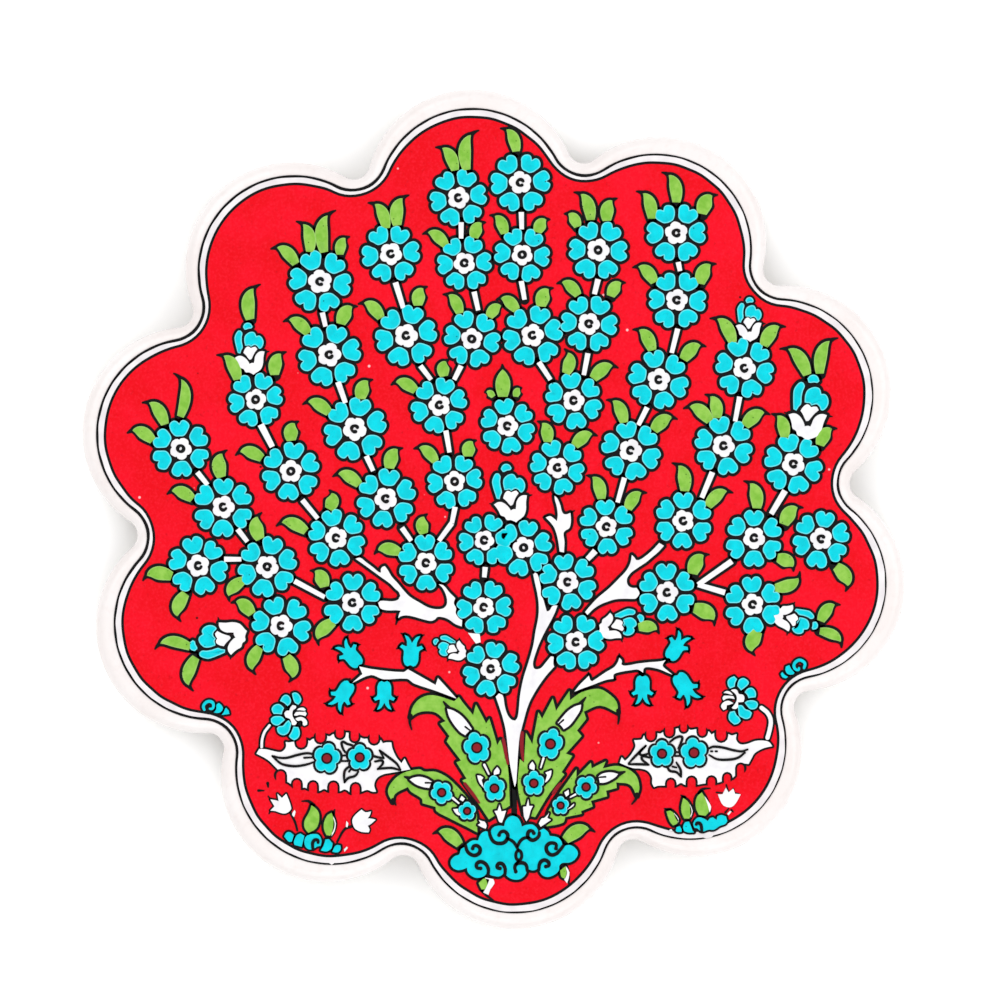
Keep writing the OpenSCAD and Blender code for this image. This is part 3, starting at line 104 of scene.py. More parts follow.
LEAVES = [
    (-8.3, 73.2, -12.6, 78.2, 2.9), (-5.8, 73.3, -3.1, 81.9, 3), (-23.2, 60.7, -27.2, 66.2, 2.9),
    (-20.8, 61.3, -18.2, 67.9, 3.2), (-39.7, 55.6, -42.7, 62.2, 2.9), (-36.6, 55.5, -34, 64.6, 3.1),
    (-33.2, 55, -31, 58.9, 2.6), (-42.7, 53, -48.2, 56.2, 2.9), (-10.3, 57, -15.4, 59.4, 2.8),
    (-4.2, 58.6, -1.6, 62, 3), (4.9, 77.3, 1.4, 82.3, 2.8), (2.4, 59.5, -0.9, 63.5, 2.8),
    (9.5, 59.8, 12.3, 62.6, 3), (18.2, 61, 15.2, 63.8, 2.7), (21, 62.5, 17.3, 68.5, 3),
    (24.5, 62.3, 26.8, 67.2, 3.2), (34.2, 62.8, 30.8, 68.7, 3), (39.5, 66.3, 36.3, 72.8, 3),
    (45, 63.8, 48.5, 67.9, 3.6), (34.8, 49, 30, 52.2, 3), (44.6, 48.7, 48.2, 53, 3.4),
    (18.3, 46.2, 13.6, 48.7, 2.8), (25.3, 46, 28.6, 48.9, 3), (5, 43, 0.5, 45.2, 2.9),
    (10.3, 43.8, 13, 47.8, 3.4), (-7.3, 42.3, -11, 46.4, 2.8), (-1, 41.5, 2.6, 43.8, 2.8),
    (-24.3, 41.3, -29.3, 44.3, 3), (-16.3, 44, -14.2, 48.1, 3.2), (-71, 18.3, -76, 23, 3),
    (-67.7, 20, -69.2, 29.4, 2.6), (-73.6, 14.8, -79.2, 16.4, 3), (-65, 2.2, -70.6, 3.2, 3),
    (-58.8, 6.9, -57.5, 12.8, 3.4), (-55.3, 28, -59.9, 33.3, 3), (-47.3, 29, -44.7, 34, 3.2),
    (-52.6, 41, -50.3, 48.6, 3.2), (-50, 11, -55.8, 11.6, 3), (-43.7, 14.8, -42, 19, 3.4),
    (-40, 38, -45.5, 40.5, 3), (-33, 40, -29.3, 43.8, 3.4), (-35.5, 20.8, -41.3, 22.6, 3),
    (-28.7, 23.8, -26, 28, 3.4), (-29, 5.3, -34.8, 7, 3), (-22.5, 8.8, -19.5, 13.2, 3.4),
    (-16.8, 25.6, -22.2, 26.8, 2.9), (-10.7, 28.7, -9.5, 32.4, 3), (-12.5, 10.3, -17.3, 13, 2.8),
    (-5.5, 11.4, -3.6, 14.9, 3.2), (-35.6, 0, -35.6, 4.2, 3.2), (2, 24.3, 1.9, 31.4, 3.6, 0.02),
    (0, 24.3, -2, 25.2, 1.6), (4.8, 24.3, 6.2, 26.2, 1.8),
    (15.6, 29.3, 15.2, 34.7, 3), (21.5, 28.2, 27, 30.5, 3.2), (34.3, 34.3, 30, 38.8, 3.1),
    (41, 32.3, 46, 35.1, 3.2), (28.2, 18.7, 24.3, 23.6, 3), (34.6, 17, 39.8, 19.4, 3.3),
    (11.7, 14.5, 9.4, 19, 3), (17.5, 13.7, 22.5, 15.8, 3.1), (23.3, 2.2, 20, 7.3, 3),
    (29, 0, 33.2, 3.5, 3), (46.8, 19, 41, 21.7, 3.2), (41.3, 3.9, 38.5, 10, 3.2),
    (51.7, 36, 46.7, 41.2, 3.1), (58.4, 35.3, 63.2, 39.4, 3.3), (48.3, 19.7, 45.6, 24.8, 3),
    (54.3, 18, 59.8, 20.4, 3.3), (62.9, 15.5, 60, 20.6, 3), (70.5, 13.8, 74.3, 17.4, 3.2),
    (67.8, 29, 61.8, 34.6, 3.2), (70.5, 29.3, 74.5, 37, 3), (56.9, 0.2, 54, 6.1, 3.2),
    (46.3, 0.6, 51.8, 3.5, 3), (62.7, -3.3, 67, 0.3, 3.5), (-65.5, -29.8, -73.2, -30.3, 2.7),
    (-64.3, -32, -64.8, -39.3, 3), (-50.5, -29.8, -51.3, -35.8, 3), (-44.8, -31.8, -44.3, -37.4, 3.2),
    (-52.2, -22.7, -56.8, -20.3, 3.2), (-54, -15.3, -57, -20, 3), (-69.5, -14.5, -75.8, -15.5, 3.3),
    (-66.5, -18.2, -67.5, -24.3, 3.2), (-50.4, -6.5, -50, -0.7, 3.4), (-40.5, -4.8, -47, -3.7, 3),
    (-36.5, -16.8, -39.7, -13.3, 3.4), (-34.5, -24.3, -37.7, -29.5, 3.2), (-20.3, -9.3, -25.8, -9.8, 3),
    (-15, -5.3, -14.2, -1, 3), (43, -14, 46.7, -9.8, 3.6), (43.3, -21.3, 47.7, -25.3, 3.6),
    (74, -12.3, 76, -17.8, 3.4), (61.3, -10.5, 64.8, -13.5, 3.2), (60.8, -17, 66.2, -13.4, 3, -0.42),
    (57.2, -26.3, 56.6, -31.7, 3.5), (70.7, -24.2, 75, -20.7, 2.9), (70.5, -26.3, 75.2, -30, 2.5),
    (31.3, -25.5, 35.8, -27, 2.8), (-7.3, -72.5, -13.2, -70.2, 3), (15.5, -71.5, 22, -69.8, 3.2)
]

STEMS = [
    (-7, 62, -7, 58.5, 1.1), (-4.2, 47, -3.3, 43, 1.1), (-21.2, 49, -19.5, 43.5, 1.2),
    (-37, 42.5, -36.3, 39.5, 1.1), (-50.3, 18.3, -47.8, 13.5, 1.4), (-64, 8, -61.8, 5.3, 1.1),
    (-33.6, 27.5, -32, 23, 1.2), (-41.3, 2, -38, -2, 1.1), (-27.5, 11.5, -26, 8.3, 1.1),
    (-15.8, 31, -13.5, 28, 1.1), (-7, 31, -8.5, 28, 1.1), (-10.3, 17, -9.5, 12.3, 1.1),
    (-8.3, 0.5, -9, -3, 1.1), (-9, -3, -11.8, -6.8, 1.1), (6, 64.2, 6.1, 60.5, 1.1),
    (6, 49.3, 6.7, 45.3, 1.1), (22.6, 49.7, 21.8, 46.5, 1.2), (39.9, 53.4, 40.3, 51.5, 1.1),
    (20.4, 33.7, 19.5, 29, 1.1), (9.8, 31.8, 12.3, 28, 1.1), (39.8, 39, 38.5, 33.8, 1.1),
    (33.2, 22, 31.3, 18.2, 1.1), (28.3, 6.8, 26.8, 1.5, 1.1),
    (47.3, 8, 45, 2.5, 1.2), (53.2, 24.3, 52.2, 19, 1.1),
    (63, 4, 60, -1, 1.3), (-55.3, -4.3, -53.2, -7, 1.1), (-58.2, -10.8, -54.5, -10.8, 1.1),
    (-19.8, -4, -17.8, -6.8, 1.1), (-43, -15.5, -36.5, -19, 1.1), (-1.8, -12.5, -2, -14.7, 1.1),
    (22, -9, 20.3, -10.8, 1.3), (51.5, -11.2, 44.2, -16.3, 1.2), (50, -18, 44.2, -16.3, 1.2)
]

BUDS = [
    (-52, 29.2, -53, 40.3, 1), (55.3, 36.3, 55.5, 45.8, 1), (67.5, 15, 69.5, 29, 1),
    (-53.4, -26.5, -65.8, -29.5, 1), (4.7, -2.7, 2.8, 9.8, 1), (-6, -31.7, -13, -28.5, -1),
    (22.8, -26.5, 32.5, -23.5, 1), (60.5, -22.7, 70, -25.5, 1)
]

BELLS = [
    (-28.8, -34, 130, 1), (-18, -34.2, 86, 1.05), (-30.8, -37.2, -122, 1.03), (-23.6, -36.9, -90, 0.97),
    (37.8, -32.6, 58, 1), (32.2, -35.7, -90, 0.98), (39.5, -35.4, -58, 1.1)
]

SAZ_FLOWERS = [
    (-3.6, -51.5, 2.8, 3.4, 15), (0.2, -60.3, 2.3, 2.8, 5), (-11.2, -61.2, 2.3, 2.5, 30),
    (-5.7, -65.2, 1.9, 2, 0), (12.3, -50.7, 2.6, 3.4, -15), (8.7, -59.2, 2.3, 2.7, 0),
    (20, -60, 2.3, 2.5, -30), (14.5, -64, 1.8, 2, 0), (-36, -53.8, 2.85, 3.25, -10),
    (-28.9, -53.6, 2.55, 2.8, 0), (36.4, -52.8, 2.6, 2.85, 0), (43.3, -52.6, 2.85, 3.25, 8)
]

BRANCHES = [
    ((4.6, -60), (4.3, -58.8), (3.4, -54), (2.7, -48), (2, -45), (1.2, -42.5), (0.5, -40.5), (1.2, -39.8),
     (2, -40.3), (2.4, -42.5), (3, -44.4), (3.9, -45.5), (4.7, -45.7), (5.2, -45), (5.5, -43.2),
     (5.8, -40), (6.5, -36.5), (7.6, -33), (8.6, -29.5), (9.1, -26.4), (9.7, -23.3), (9.8, -20.7),
     (9.5, -18.3), (9, -16), (8.6, -14.1), (9, -13.7), (9.5, -14.1), (9.9, -15.5), (10.2, -17),
     (10.2, -18.5), (10.7, -19.4), (11.1, -20.8), (11.5, -22.1), (12.1, -21.9), (12.8, -20.9),
     (13.8, -20.8), (13.2, -22.4), (12.2, -24.4), (11, -26.6), (9.8, -29.1), (8.9, -31.6), (8.5, -33.2),
     (8.7, -34.3), (9.3, -34.6), (10.3, -34.3), (11.5, -32.9), (12.4, -31.8), (13, -31.9), (12.9, -33.4),
     (13.1, -34), (11.3, -36), (9.2, -39), (7.6, -42), (6.4, -46), (5.5, -50), (4.9, -58.8)),
    ((19.8, -22.2), (20.8, -21), (22.5, -19.2), (25, -17.1), (27.3, -14.8), (28.7, -13.3), (29.6, -11.6),
     (29.9, -9.9), (30.4, -10.4), (30.8, -11), (31.4, -11), (32.5, -10.4), (34.2, -9), (35.8, -7.3),
     (36.8, -7.9), (35.6, -9.2), (34.3, -10.3), (33, -11.4), (31.2, -12.6), (29.8, -13.6),
     (28.9, -14.8), (28.8, -15.8), (29.2, -16.6), (30, -17), (30.9, -17), (31.3, -17.6), (31.5, -18.2),
     (31.1, -18.9), (30.6, -19.3), (28.5, -19.3), (26.5, -19.4), (25, -19.8), (23, -20.6), (21.5, -21.6),
     (20.3, -22.8)),
    ((-29.8, -10.7), (-28.8, -10.5), (-27.6, -11.4), (-26, -12.6), (-24.8, -13.6), (-24.3, -13.7),
     (-24.3, -12.9), (-24, -12.5), (-23.5, -12.3), (-22.9, -13.1), (-22, -14.6), (-20.8, -15.9),
     (-19.3, -17.7), (-18, -19), (-16, -20.2), (-14.2, -21.2), (-12.6, -21.6), (-11, -21.5),
     (-10.2, -20.8), (-10, -19.8), (-10.3, -18.4), (-11, -17), (-11.8, -16.2), (-10.8, -16.5),
     (-9.6, -17.9), (-8.3, -19.2), (-8.6, -20.3), (-8.1, -21.4), (-8.2, -22.4), (-7.6, -23.4),
     (-6.8, -24), (-6.9, -25.3), (-8.2, -24.8), (-10, -23.6), (-12, -23.2), (-12.7, -23.8),
     (-13.5, -24.1), (-15, -23.8), (-17.5, -23.1), (-19, -22.9), (-20, -23.1), (-20.6, -23.5),
     (-20.3, -22.5), (-20, -21.9), (-21, -21.8), (-23, -21.8), (-24.4, -21.4), (-24.9, -20.2),
     (-24.3, -19.8), (-22, -19.9), (-20.7, -19.6), (-20.1, -18.7), (-20.5, -17.8), (-21.2, -17.2),
     (-22.4, -16), (-24.5, -14.5), (-26, -13.4), (-28.5, -11.6)),
    ((-29, -34), (-26, -34.6), (-19.5, -35.2), (-18.5, -34.6), (-12.5, -38), (-12, -36.5),
     (-8, -40.9), (-12.5, -39.2), (-17.2, -37.6), (-18.7, -36.6), (-23.8, -36.7), (-26.5, -35.8),
     (-30.5, -37.5), (-28.3, -35.6)),
    ((17.5, -39.4), (18.6, -38), (19.8, -36.8), (20.6, -36), (20.9, -36.9), (21.3, -37.2), (22.4, -36.5),
     (24.3, -35.2), (26.1, -34.1), (26.9, -33), (27.2, -32.1), (27.7, -32.7), (27.6, -33.5),
     (28.1, -33.8), (29.5, -33.7), (31, -33.4), (33.5, -33.1), (36, -32.9), (37.2, -32.6),
     (36.6, -33.4), (36.6, -34), (37.5, -34.8), (38.6, -35.7), (37.4, -35.2), (36, -34.6), (34.4, -34.2),
     (33, -34.1), (32.4, -34.5), (32.3, -35.3), (31.8, -34.9), (31.1, -34.6), (30, -34.7), (28, -35),
     (26.4, -35.4), (25.9, -35.8), (25.9, -36.6), (24.5, -36.8), (23, -37.3), (21.5, -37.9),
     (19.5, -38.6)),
    ((13.2, 2.9), (13.8, 2.3), (14.4, 0.9), (14.7, -0.3), (15.1, -1), (15.8, -1.1), (16.6, -0.8),
     (16.7, -2.3), (16.6, -3.3), (16.3, -4.1), (15.5, -4.6), (15.1, -5.2), (15.3, -7), (15.2, -9.3),
     (14.3, -9.1), (14.1, -7.5), (13.7, -5.5), (13.1, -3.9), (12.3, -2.8), (11.3, -1.8),
     (12.2, -1.5), (12.9, -1.9), (13.7, -2.6), (13.9, -1.3), (13.7, 0.5), (13.3, 2))
]

GREEN_SAZ = [
    ((-18, -45), (-17.3, -42.5), (-15.5, -40.7), (-13, -40.2), (-8.5, -41.5), (-7.5, -40.6),
     (-6.5, -42), (-4.4, -44.5), (-3.8, -42.2), (-1.6, -46.3), (-0.9, -45.3), (0.8, -51),
     (1.5, -49.8), (3, -55), (3.5, -64), (-1, -67), (-5, -61), (-6.7, -58.6), (-5.8, -58.2),
     (-8, -54.7), (-7, -54.3), (-10.1, -50.2), (-9.5, -49), (-11.5, -46.3), (-10.3, -45.8),
     (-12.3, -44), (-14.5, -43.6), (-16.5, -44)),
    ((-21.8, -63.3), (-22.8, -61), (-21.8, -58.8), (-19.5, -57), (-16, -56.2), (-15, -56.7),
     (-12.3, -56.8), (-9, -58.8), (-4, -65), (-3.5, -69.8), (-6, -68.5), (-10, -66.5),
     (-12.3, -65.2), (-12.5, -64.3), (-15.3, -63.5), (-15.5, -62.5), (-17.8, -61),
     (-18.5, -60), (-21.3, -61.5)),
    ((26.9, -44), (26.5, -41.5), (24, -39.3), (22.3, -38.8), (19, -39.6), (16.5, -41.3),
     (16.4, -39.3), (13.5, -43.6), (12.8, -40.9), (10.5, -45.3), (9.7, -43.9), (8.4, -50.8),
     (7, -48.3), (6.6, -54.8), (5.7, -54), (5.3, -60), (6.5, -66), (9, -66.5), (12, -61.5),
     (15.3, -57.3), (14.7, -56.8), (17, -53.3), (15.6, -52.8), (19, -49), (18, -47.8),
     (20, -45.3), (19.5, -43.7), (23, -42.4)),
    ((31, -62), (31.5, -60), (30.5, -57.2), (27, -55.5), (23.6, -56), (24.2, -54.5),
     (21.2, -56), (21, -54.8), (17.9, -58), (17.9, -56.2), (12, -65), (11.5, -68.5),
     (15, -67.7), (15.5, -66.5), (19, -65.8), (18.9, -65.2), (21.4, -64.2), (21, -63),
     (24.5, -62), (24.3, -60.8), (26.6, -60.2), (26.5, -59), (29.5, -59.5))
]

WHITE_SAZ = [
    ((-51.2, -52.8), (-50.6, -51.8), (-49.1, -51.9), (-47.4, -52.3), (-46, -52.5), (-45.2, -52),
     (-44.8, -51.2), (-44.9, -50.3), (-44.2, -50.4), (-43.6, -50.3), (-41.6, -50), (-40.4, -49.8),
     (-39.7, -50.1), (-38.9, -49.6), (-38.2, -49.8), (-36.3, -48.9), (-35.4, -49.1), (-34.6, -48.6),
     (-33.8, -48.9), (-32, -48.3), (-31.1, -48.4), (-30.6, -48.9), (-29, -49.2), (-28.1, -49.6),
     (-27.3, -49.6), (-26.7, -49.8), (-24.5, -49.7), (-23.9, -50.6), (-23.2, -50.4), (-22.1, -50.4),
     (-21.9, -51.6), (-21, -53.6), (-19.9, -54.9), (-19.2, -53.9), (-18.7, -55), (-18, -56.2),
     (-20.3, -56.6), (-22.6, -57), (-23.7, -57.2), (-24.9, -57.8), (-25.6, -58.7), (-25.8, -59.8),
     (-25.4, -61), (-26.2, -61), (-27.3, -60.6), (-28.8, -61.1), (-30.8, -61.3), (-31.6, -60.7),
     (-32.3, -60.5), (-33.2, -60.9), (-35.7, -60.8), (-36.6, -60.4), (-37.8, -60.9), (-40.1, -60.4),
     (-40.8, -60.1), (-41.4, -60.2), (-43.6, -59.5), (-44.3, -59), (-45.4, -58.6), (-45.5, -57.5),
     (-46.7, -56.1), (-47.3, -55.5), (-48.4, -54.4), (-49.6, -53.6)),
    ((27.3, -54.8), (27.7, -53.6), (28.4, -54.4), (29.3, -53.6), (30.1, -52.5), (30.7, -51.2),
     (30.4, -49.9), (31.2, -49.9), (32.1, -49.7), (32.5, -48.9), (33.3, -49.6), (34.9, -48.8),
     (35.3, -48.4), (36, -48.5), (36.7, -48.1), (37.2, -48.5), (38.9, -47.7), (39.3, -47.5), (40, -47.3),
     (40.4, -47.8), (42.1, -47.5), (42.6, -47.7), (43.9, -47.5), (44.3, -48.2), (46.1, -48.3),
     (46.5, -48), (47.1, -48.7), (48.1, -48.1), (48.4, -48.6), (50.4, -49.1), (50.8, -48.6),
     (51.5, -48.9), (52.5, -48.6), (52.4, -49.8), (53.3, -50.8), (54.9, -50.7), (56.5, -50.1),
     (58.1, -50), (59.5, -50.3), (60.2, -51.2), (59.5, -51.3), (58.1, -51.7), (56.4, -52.7),
     (55.7, -53.9), (55.1, -55), (54, -54.9), (53.6, -56.8), (52.7, -57.1), (51.6, -58.1), (51, -57.6),
     (49.5, -58.7), (48.1, -59.1), (46, -59.2), (45.1, -59.3), (44, -59.5), (41.5, -59.6), (40.5, -59.1),
     (39.3, -59.7), (37.1, -59.7), (35.6, -59.7), (34.7, -60), (34.3, -59.2), (34.3, -57.9),
     (33.3, -56.5), (31.7, -56), (30.1, -55.9))
]

# Round bites out of the white leaves: x, y, radius, and 1 where the bite opens upwards
WHITE_SAZ_BITES = [
    (-41.55, -50.5, 1.1, 1), (-37.4, -49.4, 1.05, 1), (-33.2, -48.6, 0.9, 1), (-30, -49.3, 0.9, 1),
    (-25.8, -49.7, 1, 1), (-29.8, -60.2, 0.9, -1), (-34.6, -59.9, 0.95, -1), (-39, -59.8, 0.9, -1),
    (-42.5, -59.3, 0.9, -1), (-46, -57.5, 1, -1), (34, -49, 1, 1), (38, -48.2, 0.95, 1),
    (41.1, -47.4, 0.75, 1), (45.1, -48.2, 0.85, 1), (49.2, -49, 1.1, 1), (38.3, -59.2, 0.85, -1),
    (42.8, -58.8, 0.9, -1), (47.1, -58.7, 0.85, -1), (50.5, -57.9, 0.75, -1), (53.4, -55.9, 0.8, -1)
]


# ---------------------------------------------------------------- motifs, each in its own small frame

# Half of a heart-shaped petal of a blossom that reaches 6.4: u outwards, v to the side
PETAL_REACH = 6.4
PETAL_HALF = [
    (2.75, 0), (2.85, 0.85), (3.2, 1.45), (4.0, 2.0), (4.95, 2.42), (5.75, 2.2), (6.35, 1.35),
    (6.25, 0.55), (5.6, 0),
]

# Half of a bell: u from its stalk to its tips
BELL_HALF = [
    (0.5, 0), (0.25, 0.6), (0.6, 1.15), (1.5, 1.5), (2.6, 1.5), (3.5, 1.6), (4.1, 2.4), (4.6, 2.0),
    (4.3, 1.2), (4.4, 0.95), (5.4, 1.05), (6.6, 1.6), (6.3, 0.9), (5.7, 0.4), (5.0, 0),
]
BELL_FLICKS = [((4.3, 2.2), (3.6, 3.1)), ((6.5, 1.4), (6.9, 2.4))]

# A half-open bud whose own axis runs from (0, 0) to BUD_TIP
BUD_TIP = (-1.9, 12.5)
BUD_CALYX = [
    (-4.6, 3.7), (-3.8, 4.2), (-2.9, 4.2), (-1.9, 3.6), (-1.2, 2.8), (-1.0, 2.4), (-0.4, 2.7), (0.1, 2.7),
    (0.2, 3.3), (0.3, 4.3), (0.9, 5.3), (1.7, 5.7), (2.5, 5.7), (2.3, 4.2), (2.3, 2.7), (1.9, 1.4),
    (1.3, 0.8), (0.6, 0.3), (0.2, -0.1), (-0.4, 0.2), (-1.0, 0.4), (-1.8, 0.4), (-2.3, 1.1), (-3.1, 1.4),
    (-3.5, 2.2), (-4.0, 3.0),
]
BUD_HEART = [
    (-2.6, 5.1), (-2.3, 6.0), (-1.8, 6.6), (-1.3, 6.6), (-0.9, 6.3), (-0.3, 6.6), (0.2, 6.7), (0.7, 6.2),
    (0.1, 5.3), (-0.3, 4.4), (-0.6, 3.7), (-1.0, 3.5), (-1.4, 3.9), (-1.9, 4.5),
]
BUD_CAP = [
    [(-4.7, 9.7), (-4.2, 10.4), (-3.6, 10.4), (-3.2, 9.8), (-3.3, 8.9), (-3.2, 7.7), (-2.9, 6.4),
     (-3.2, 5.7), (-3.4, 4.9), (-4.0, 5.0), (-4.5, 6.5), (-4.9, 7.9), (-5.0, 8.7)],
    [(-2.3, 6.9), (-2.6, 8.1), (-2.5, 9.2), (-1.9, 9.9), (-1.1, 10.3), (-0.3, 10.2), (0.3, 9.3),
     (1.0, 9.5), (1.7, 9.0), (2.1, 8.1), (2.0, 7.1), (1.5, 6.4), (1.1, 6.4), (0.7, 6.9), (0.0, 7.2),
     (-0.6, 6.9), (-0.9, 6.7), (-1.3, 7.0), (-1.9, 6.9)],
    [(-3.1, 11.4), (-2.8, 12.1), (-2.1, 12.5), (-1.3, 12.3), (-0.8, 11.6), (-1.1, 11.2), (-1.7, 11.1),
     (-2.4, 10.8), (-2.7, 10.8)],
]
BUD_FLICKS = [((-4.3, 3.7), (-5.5, 3.9)), ((2.3, 5.5), (3.6, 5.8))]

# ---------------------------------------------------------------- details drawn once, in place

# White buds inside the green saz leaves, with the tip of their outline
SAZ_BUDS = [
    ([(-10, -43.1), (-8.7, -43.5), (-7.1, -44.5), (-5.8, -45.9), (-4.7, -47.5), (-5.5, -48.1),
      (-6.1, -48.8), (-7.2, -48.1), (-8.7, -46.3), (-9.6, -44.7)], (-10.8, -41.6)),
    ([(-18.1, -58.4), (-17.3, -58), (-15.9, -57.8), (-14.4, -58.2), (-13.4, -58.8), (-13.9, -60.2),
      (-15.2, -60), (-16.8, -59.4)], (-19.2, -57.8)),
    ([(18.9, -42.2), (17.4, -42.7), (15.9, -43.8), (14.6, -45.3), (13.9, -46.2), (14.5, -46.6),
      (15.2, -47.5), (16.5, -46.6), (17.8, -44.9), (18.7, -43.4)], (19.9, -40.7)),
    ([(26.9, -57.2), (25.8, -56.9), (24.5, -56.9), (23.4, -57.2), (22.7, -57.7), (23, -59.1),
      (24.2, -59), (25.5, -58.4), (26.4, -57.8)], (28.4, -56.7)),
]
# Small white petals and calyxes on the green saz leaves
SAZ_WHITES = [
    [(0.8, -55.7), (0.1, -56.6), (0.1, -57.4), (1.2, -57.1), (1.3, -56.4)],
    [(-3.5, -57.5), (-2.8, -57.6), (-2.2, -58), (-2.6, -58.5), (-2.1, -60.2), (-2.9, -59.3), (-3.3, -58.4)],
    [(-6.9, -61.9), (-6.2, -62.5), (-6.6, -63.1), (-7.3, -62.7)],
    [(-8.7, -64.8), (-7.7, -64.7), (-7.6, -65.4), (-6.8, -66.1), (-7.6, -66.1), (-8.3, -65.5)],
    [(8.4, -54.5), (8.9, -55.4), (8.8, -56.4), (7.8, -56), (7.8, -55.3)],
    [(12.5, -56.4), (11.2, -56.9), (11.6, -57.4), (11.1, -59.1), (11.9, -58.4), (12.4, -57.4)],
    [(16.2, -60.6), (15.3, -61.2), (15.7, -62.1), (16.3, -61.6)],
    [(17.4, -63.6), (16.9, -64), (15.9, -64.9), (16.7, -64.5), (17.3, -64)],
    [(0.2, -65.2), (0.9, -65.1), (1.3, -63.8), (1.7, -65.3), (2.7, -65.1), (2.3, -66.4), (1.8, -67.7),
     (1.2, -67.5), (0.8, -66.3)],
    [(6.4, -64.3), (7.1, -64.2), (7.5, -62.6), (7.7, -64.1), (8.5, -64.1), (8, -65.1), (7.6, -66.6),
     (7.1, -67.4), (6.6, -66.4)],
    [(-3.4, -68.2), (-2.8, -67.8), (-3.2, -67.1), (-2.4, -67.4), (-1.9, -67.5), (-1.5, -68.4), (-1.7, -69),
     (-2.5, -68.7)],
    [(12.4, -67.1), (11.5, -67.7), (10.2, -68.6), (9.8, -67.9), (10.4, -66.8), (11, -66.7), (12, -65.6),
     (11.6, -66.7)],
]
# The last four of these are the tulips above the cloud, and they also have a pad in the tulips' coat
CLOUD_TULIPS = SAZ_WHITES[-4:]
# White strokes from flower to flower: start, end, width
SAZ_STROKES = [
    ((-2, -55.2), (-1, -57.2), 0.5), ((-8.8, -62.4), (-7.5, -63.5), 0.5),
    ((10.8, -53.8), (10.2, -55.8), 0.45),
    ((17.7, -61.6), (16.6, -62.2), 0.4),
]
# Black ticks inside the white buds, and the tails at the tips of the green saz leaves
BUD_TICKS = [
    [(-6.1, -47), (-4.9, -47.9)], [(-14.7, -59.1), (-13.4, -59.1)], [(15.1, -45.5), (14.1, -46.4)],
    [(24.2, -57.8), (22.9, -57.9)],
]
SAZ_TAILS = [
    [(-17.9, -44.6), (-18.1, -46), (-17.7, -47.6)], [(26.9, -43.5), (27.1, -45), (26.9, -46.4)],
    [(-21.7, -62.8), (-21.1, -63.9)], [(31, -61.6), (30.7, -62.7), (29.9, -63.7)],
]
# Dark strips left between the saz leaves and the trunk
MAROON_STRIPS = [
    ((2.1, -49.7), (2.6, -52.4), (3.1, -55), 0.6), ((6.2, -48.3), (6.1, -51.4), (6.4, -54.2), 0.7),
    ((-6.2, -59.3), (-4.6, -61.4), (-3.1, -63.4), 0.6), ((14.5, -59.3), (13.7, -60.2), (12.8, -61.4), 0.6),
]
TRUNK_FOOT = [((4.3, -58.3), (4.4, -62), (4.5, -66.3), 1.2)]
# Black lines drawn on the two white saz leaves
WHITE_SAZ_LINES = [
    [(-38.4, -53.1), (-40.2, -52.7), (-42.4, -53.1), (-44.6, -53.7), (-46.2, -53.7), (-47.8, -53.3)],
    [(-47.7, -53.4), (-46, -54.9), (-44.3, -55.4), (-42.4, -55.5), (-40.2, -55.1), (-38.8, -54.6)],
    [(-40.9, -53.7), (-38.8, -53.6)],
    [(-30.4, -51.5), (-30.4, -51.1), (-31.6, -50.7), (-32.7, -50.3), (-32.6, -51.5), (-32, -52.5),
    (-31.2, -52.8)],
    [(-33, -53.2), (-31, -53.2)], [(-33, -54.4), (-30.8, -54.4)],
    [(-30.9, -55.4), (-32, -56.3), (-32.3, -57.5), (-32.2, -59)],
    [(-32.2, -59), (-31.4, -58.1), (-29.9, -57.6), (-29.2, -56.7)], [(-31.2, -56.7), (-30.8, -56.1)],
    [(-26.3, -53), (-25.7, -53.4), (-23.8, -53.8)], [(-24.6, -52.1), (-23.7, -53.8)],
    [(-24.6, -52.1), (-22.5, -53.7), (-20.9, -55), (-20.1, -56.3)],
    [(-25.6, -54.5), (-23.9, -54.5), (-25, -56.2)], [(-25, -56.1), (-22, -55.9), (-20.2, -56.4)],
    [(46.5, -51.7), (47.5, -51.3), (49.6, -51.5), (52, -52.1), (53.6, -52.3), (54.9, -51.9)],
    [(54.3, -52.6), (52.8, -53.7), (50.7, -54.1), (48.3, -54), (46.6, -53.1)],
    [(47, -52.3), (47.3, -52.3)], [(48, -52.3), (48.3, -52.3)],
    [(32.9, -51.1), (32, -52), (30.4, -53.6), (29.2, -54.9)], [(32.9, -51.1), (31.6, -52.9), (33.9, -52.7)],
    [(33.9, -53.7), (32, -53.6), (33.5, -55.2)], [(33.5, -55.2), (31.4, -55.1), (29.2, -55.1)],
    [(38.1, -50.3), (39.3, -49.4), (40.7, -49.2), (40.5, -50.4), (39.9, -51.7)],
    [(39.2, -52.5), (41, -52.5)], [(39.2, -53.3), (41, -53.3)],
    [(37.4, -55.4), (38.1, -56.5), (39.5, -56.8), (40.5, -57.8)],
    [(40.5, -57.8), (40.4, -56.3), (39.5, -54.7)],
    [(38.7, -55.6), (39.5, -55.8)],
]

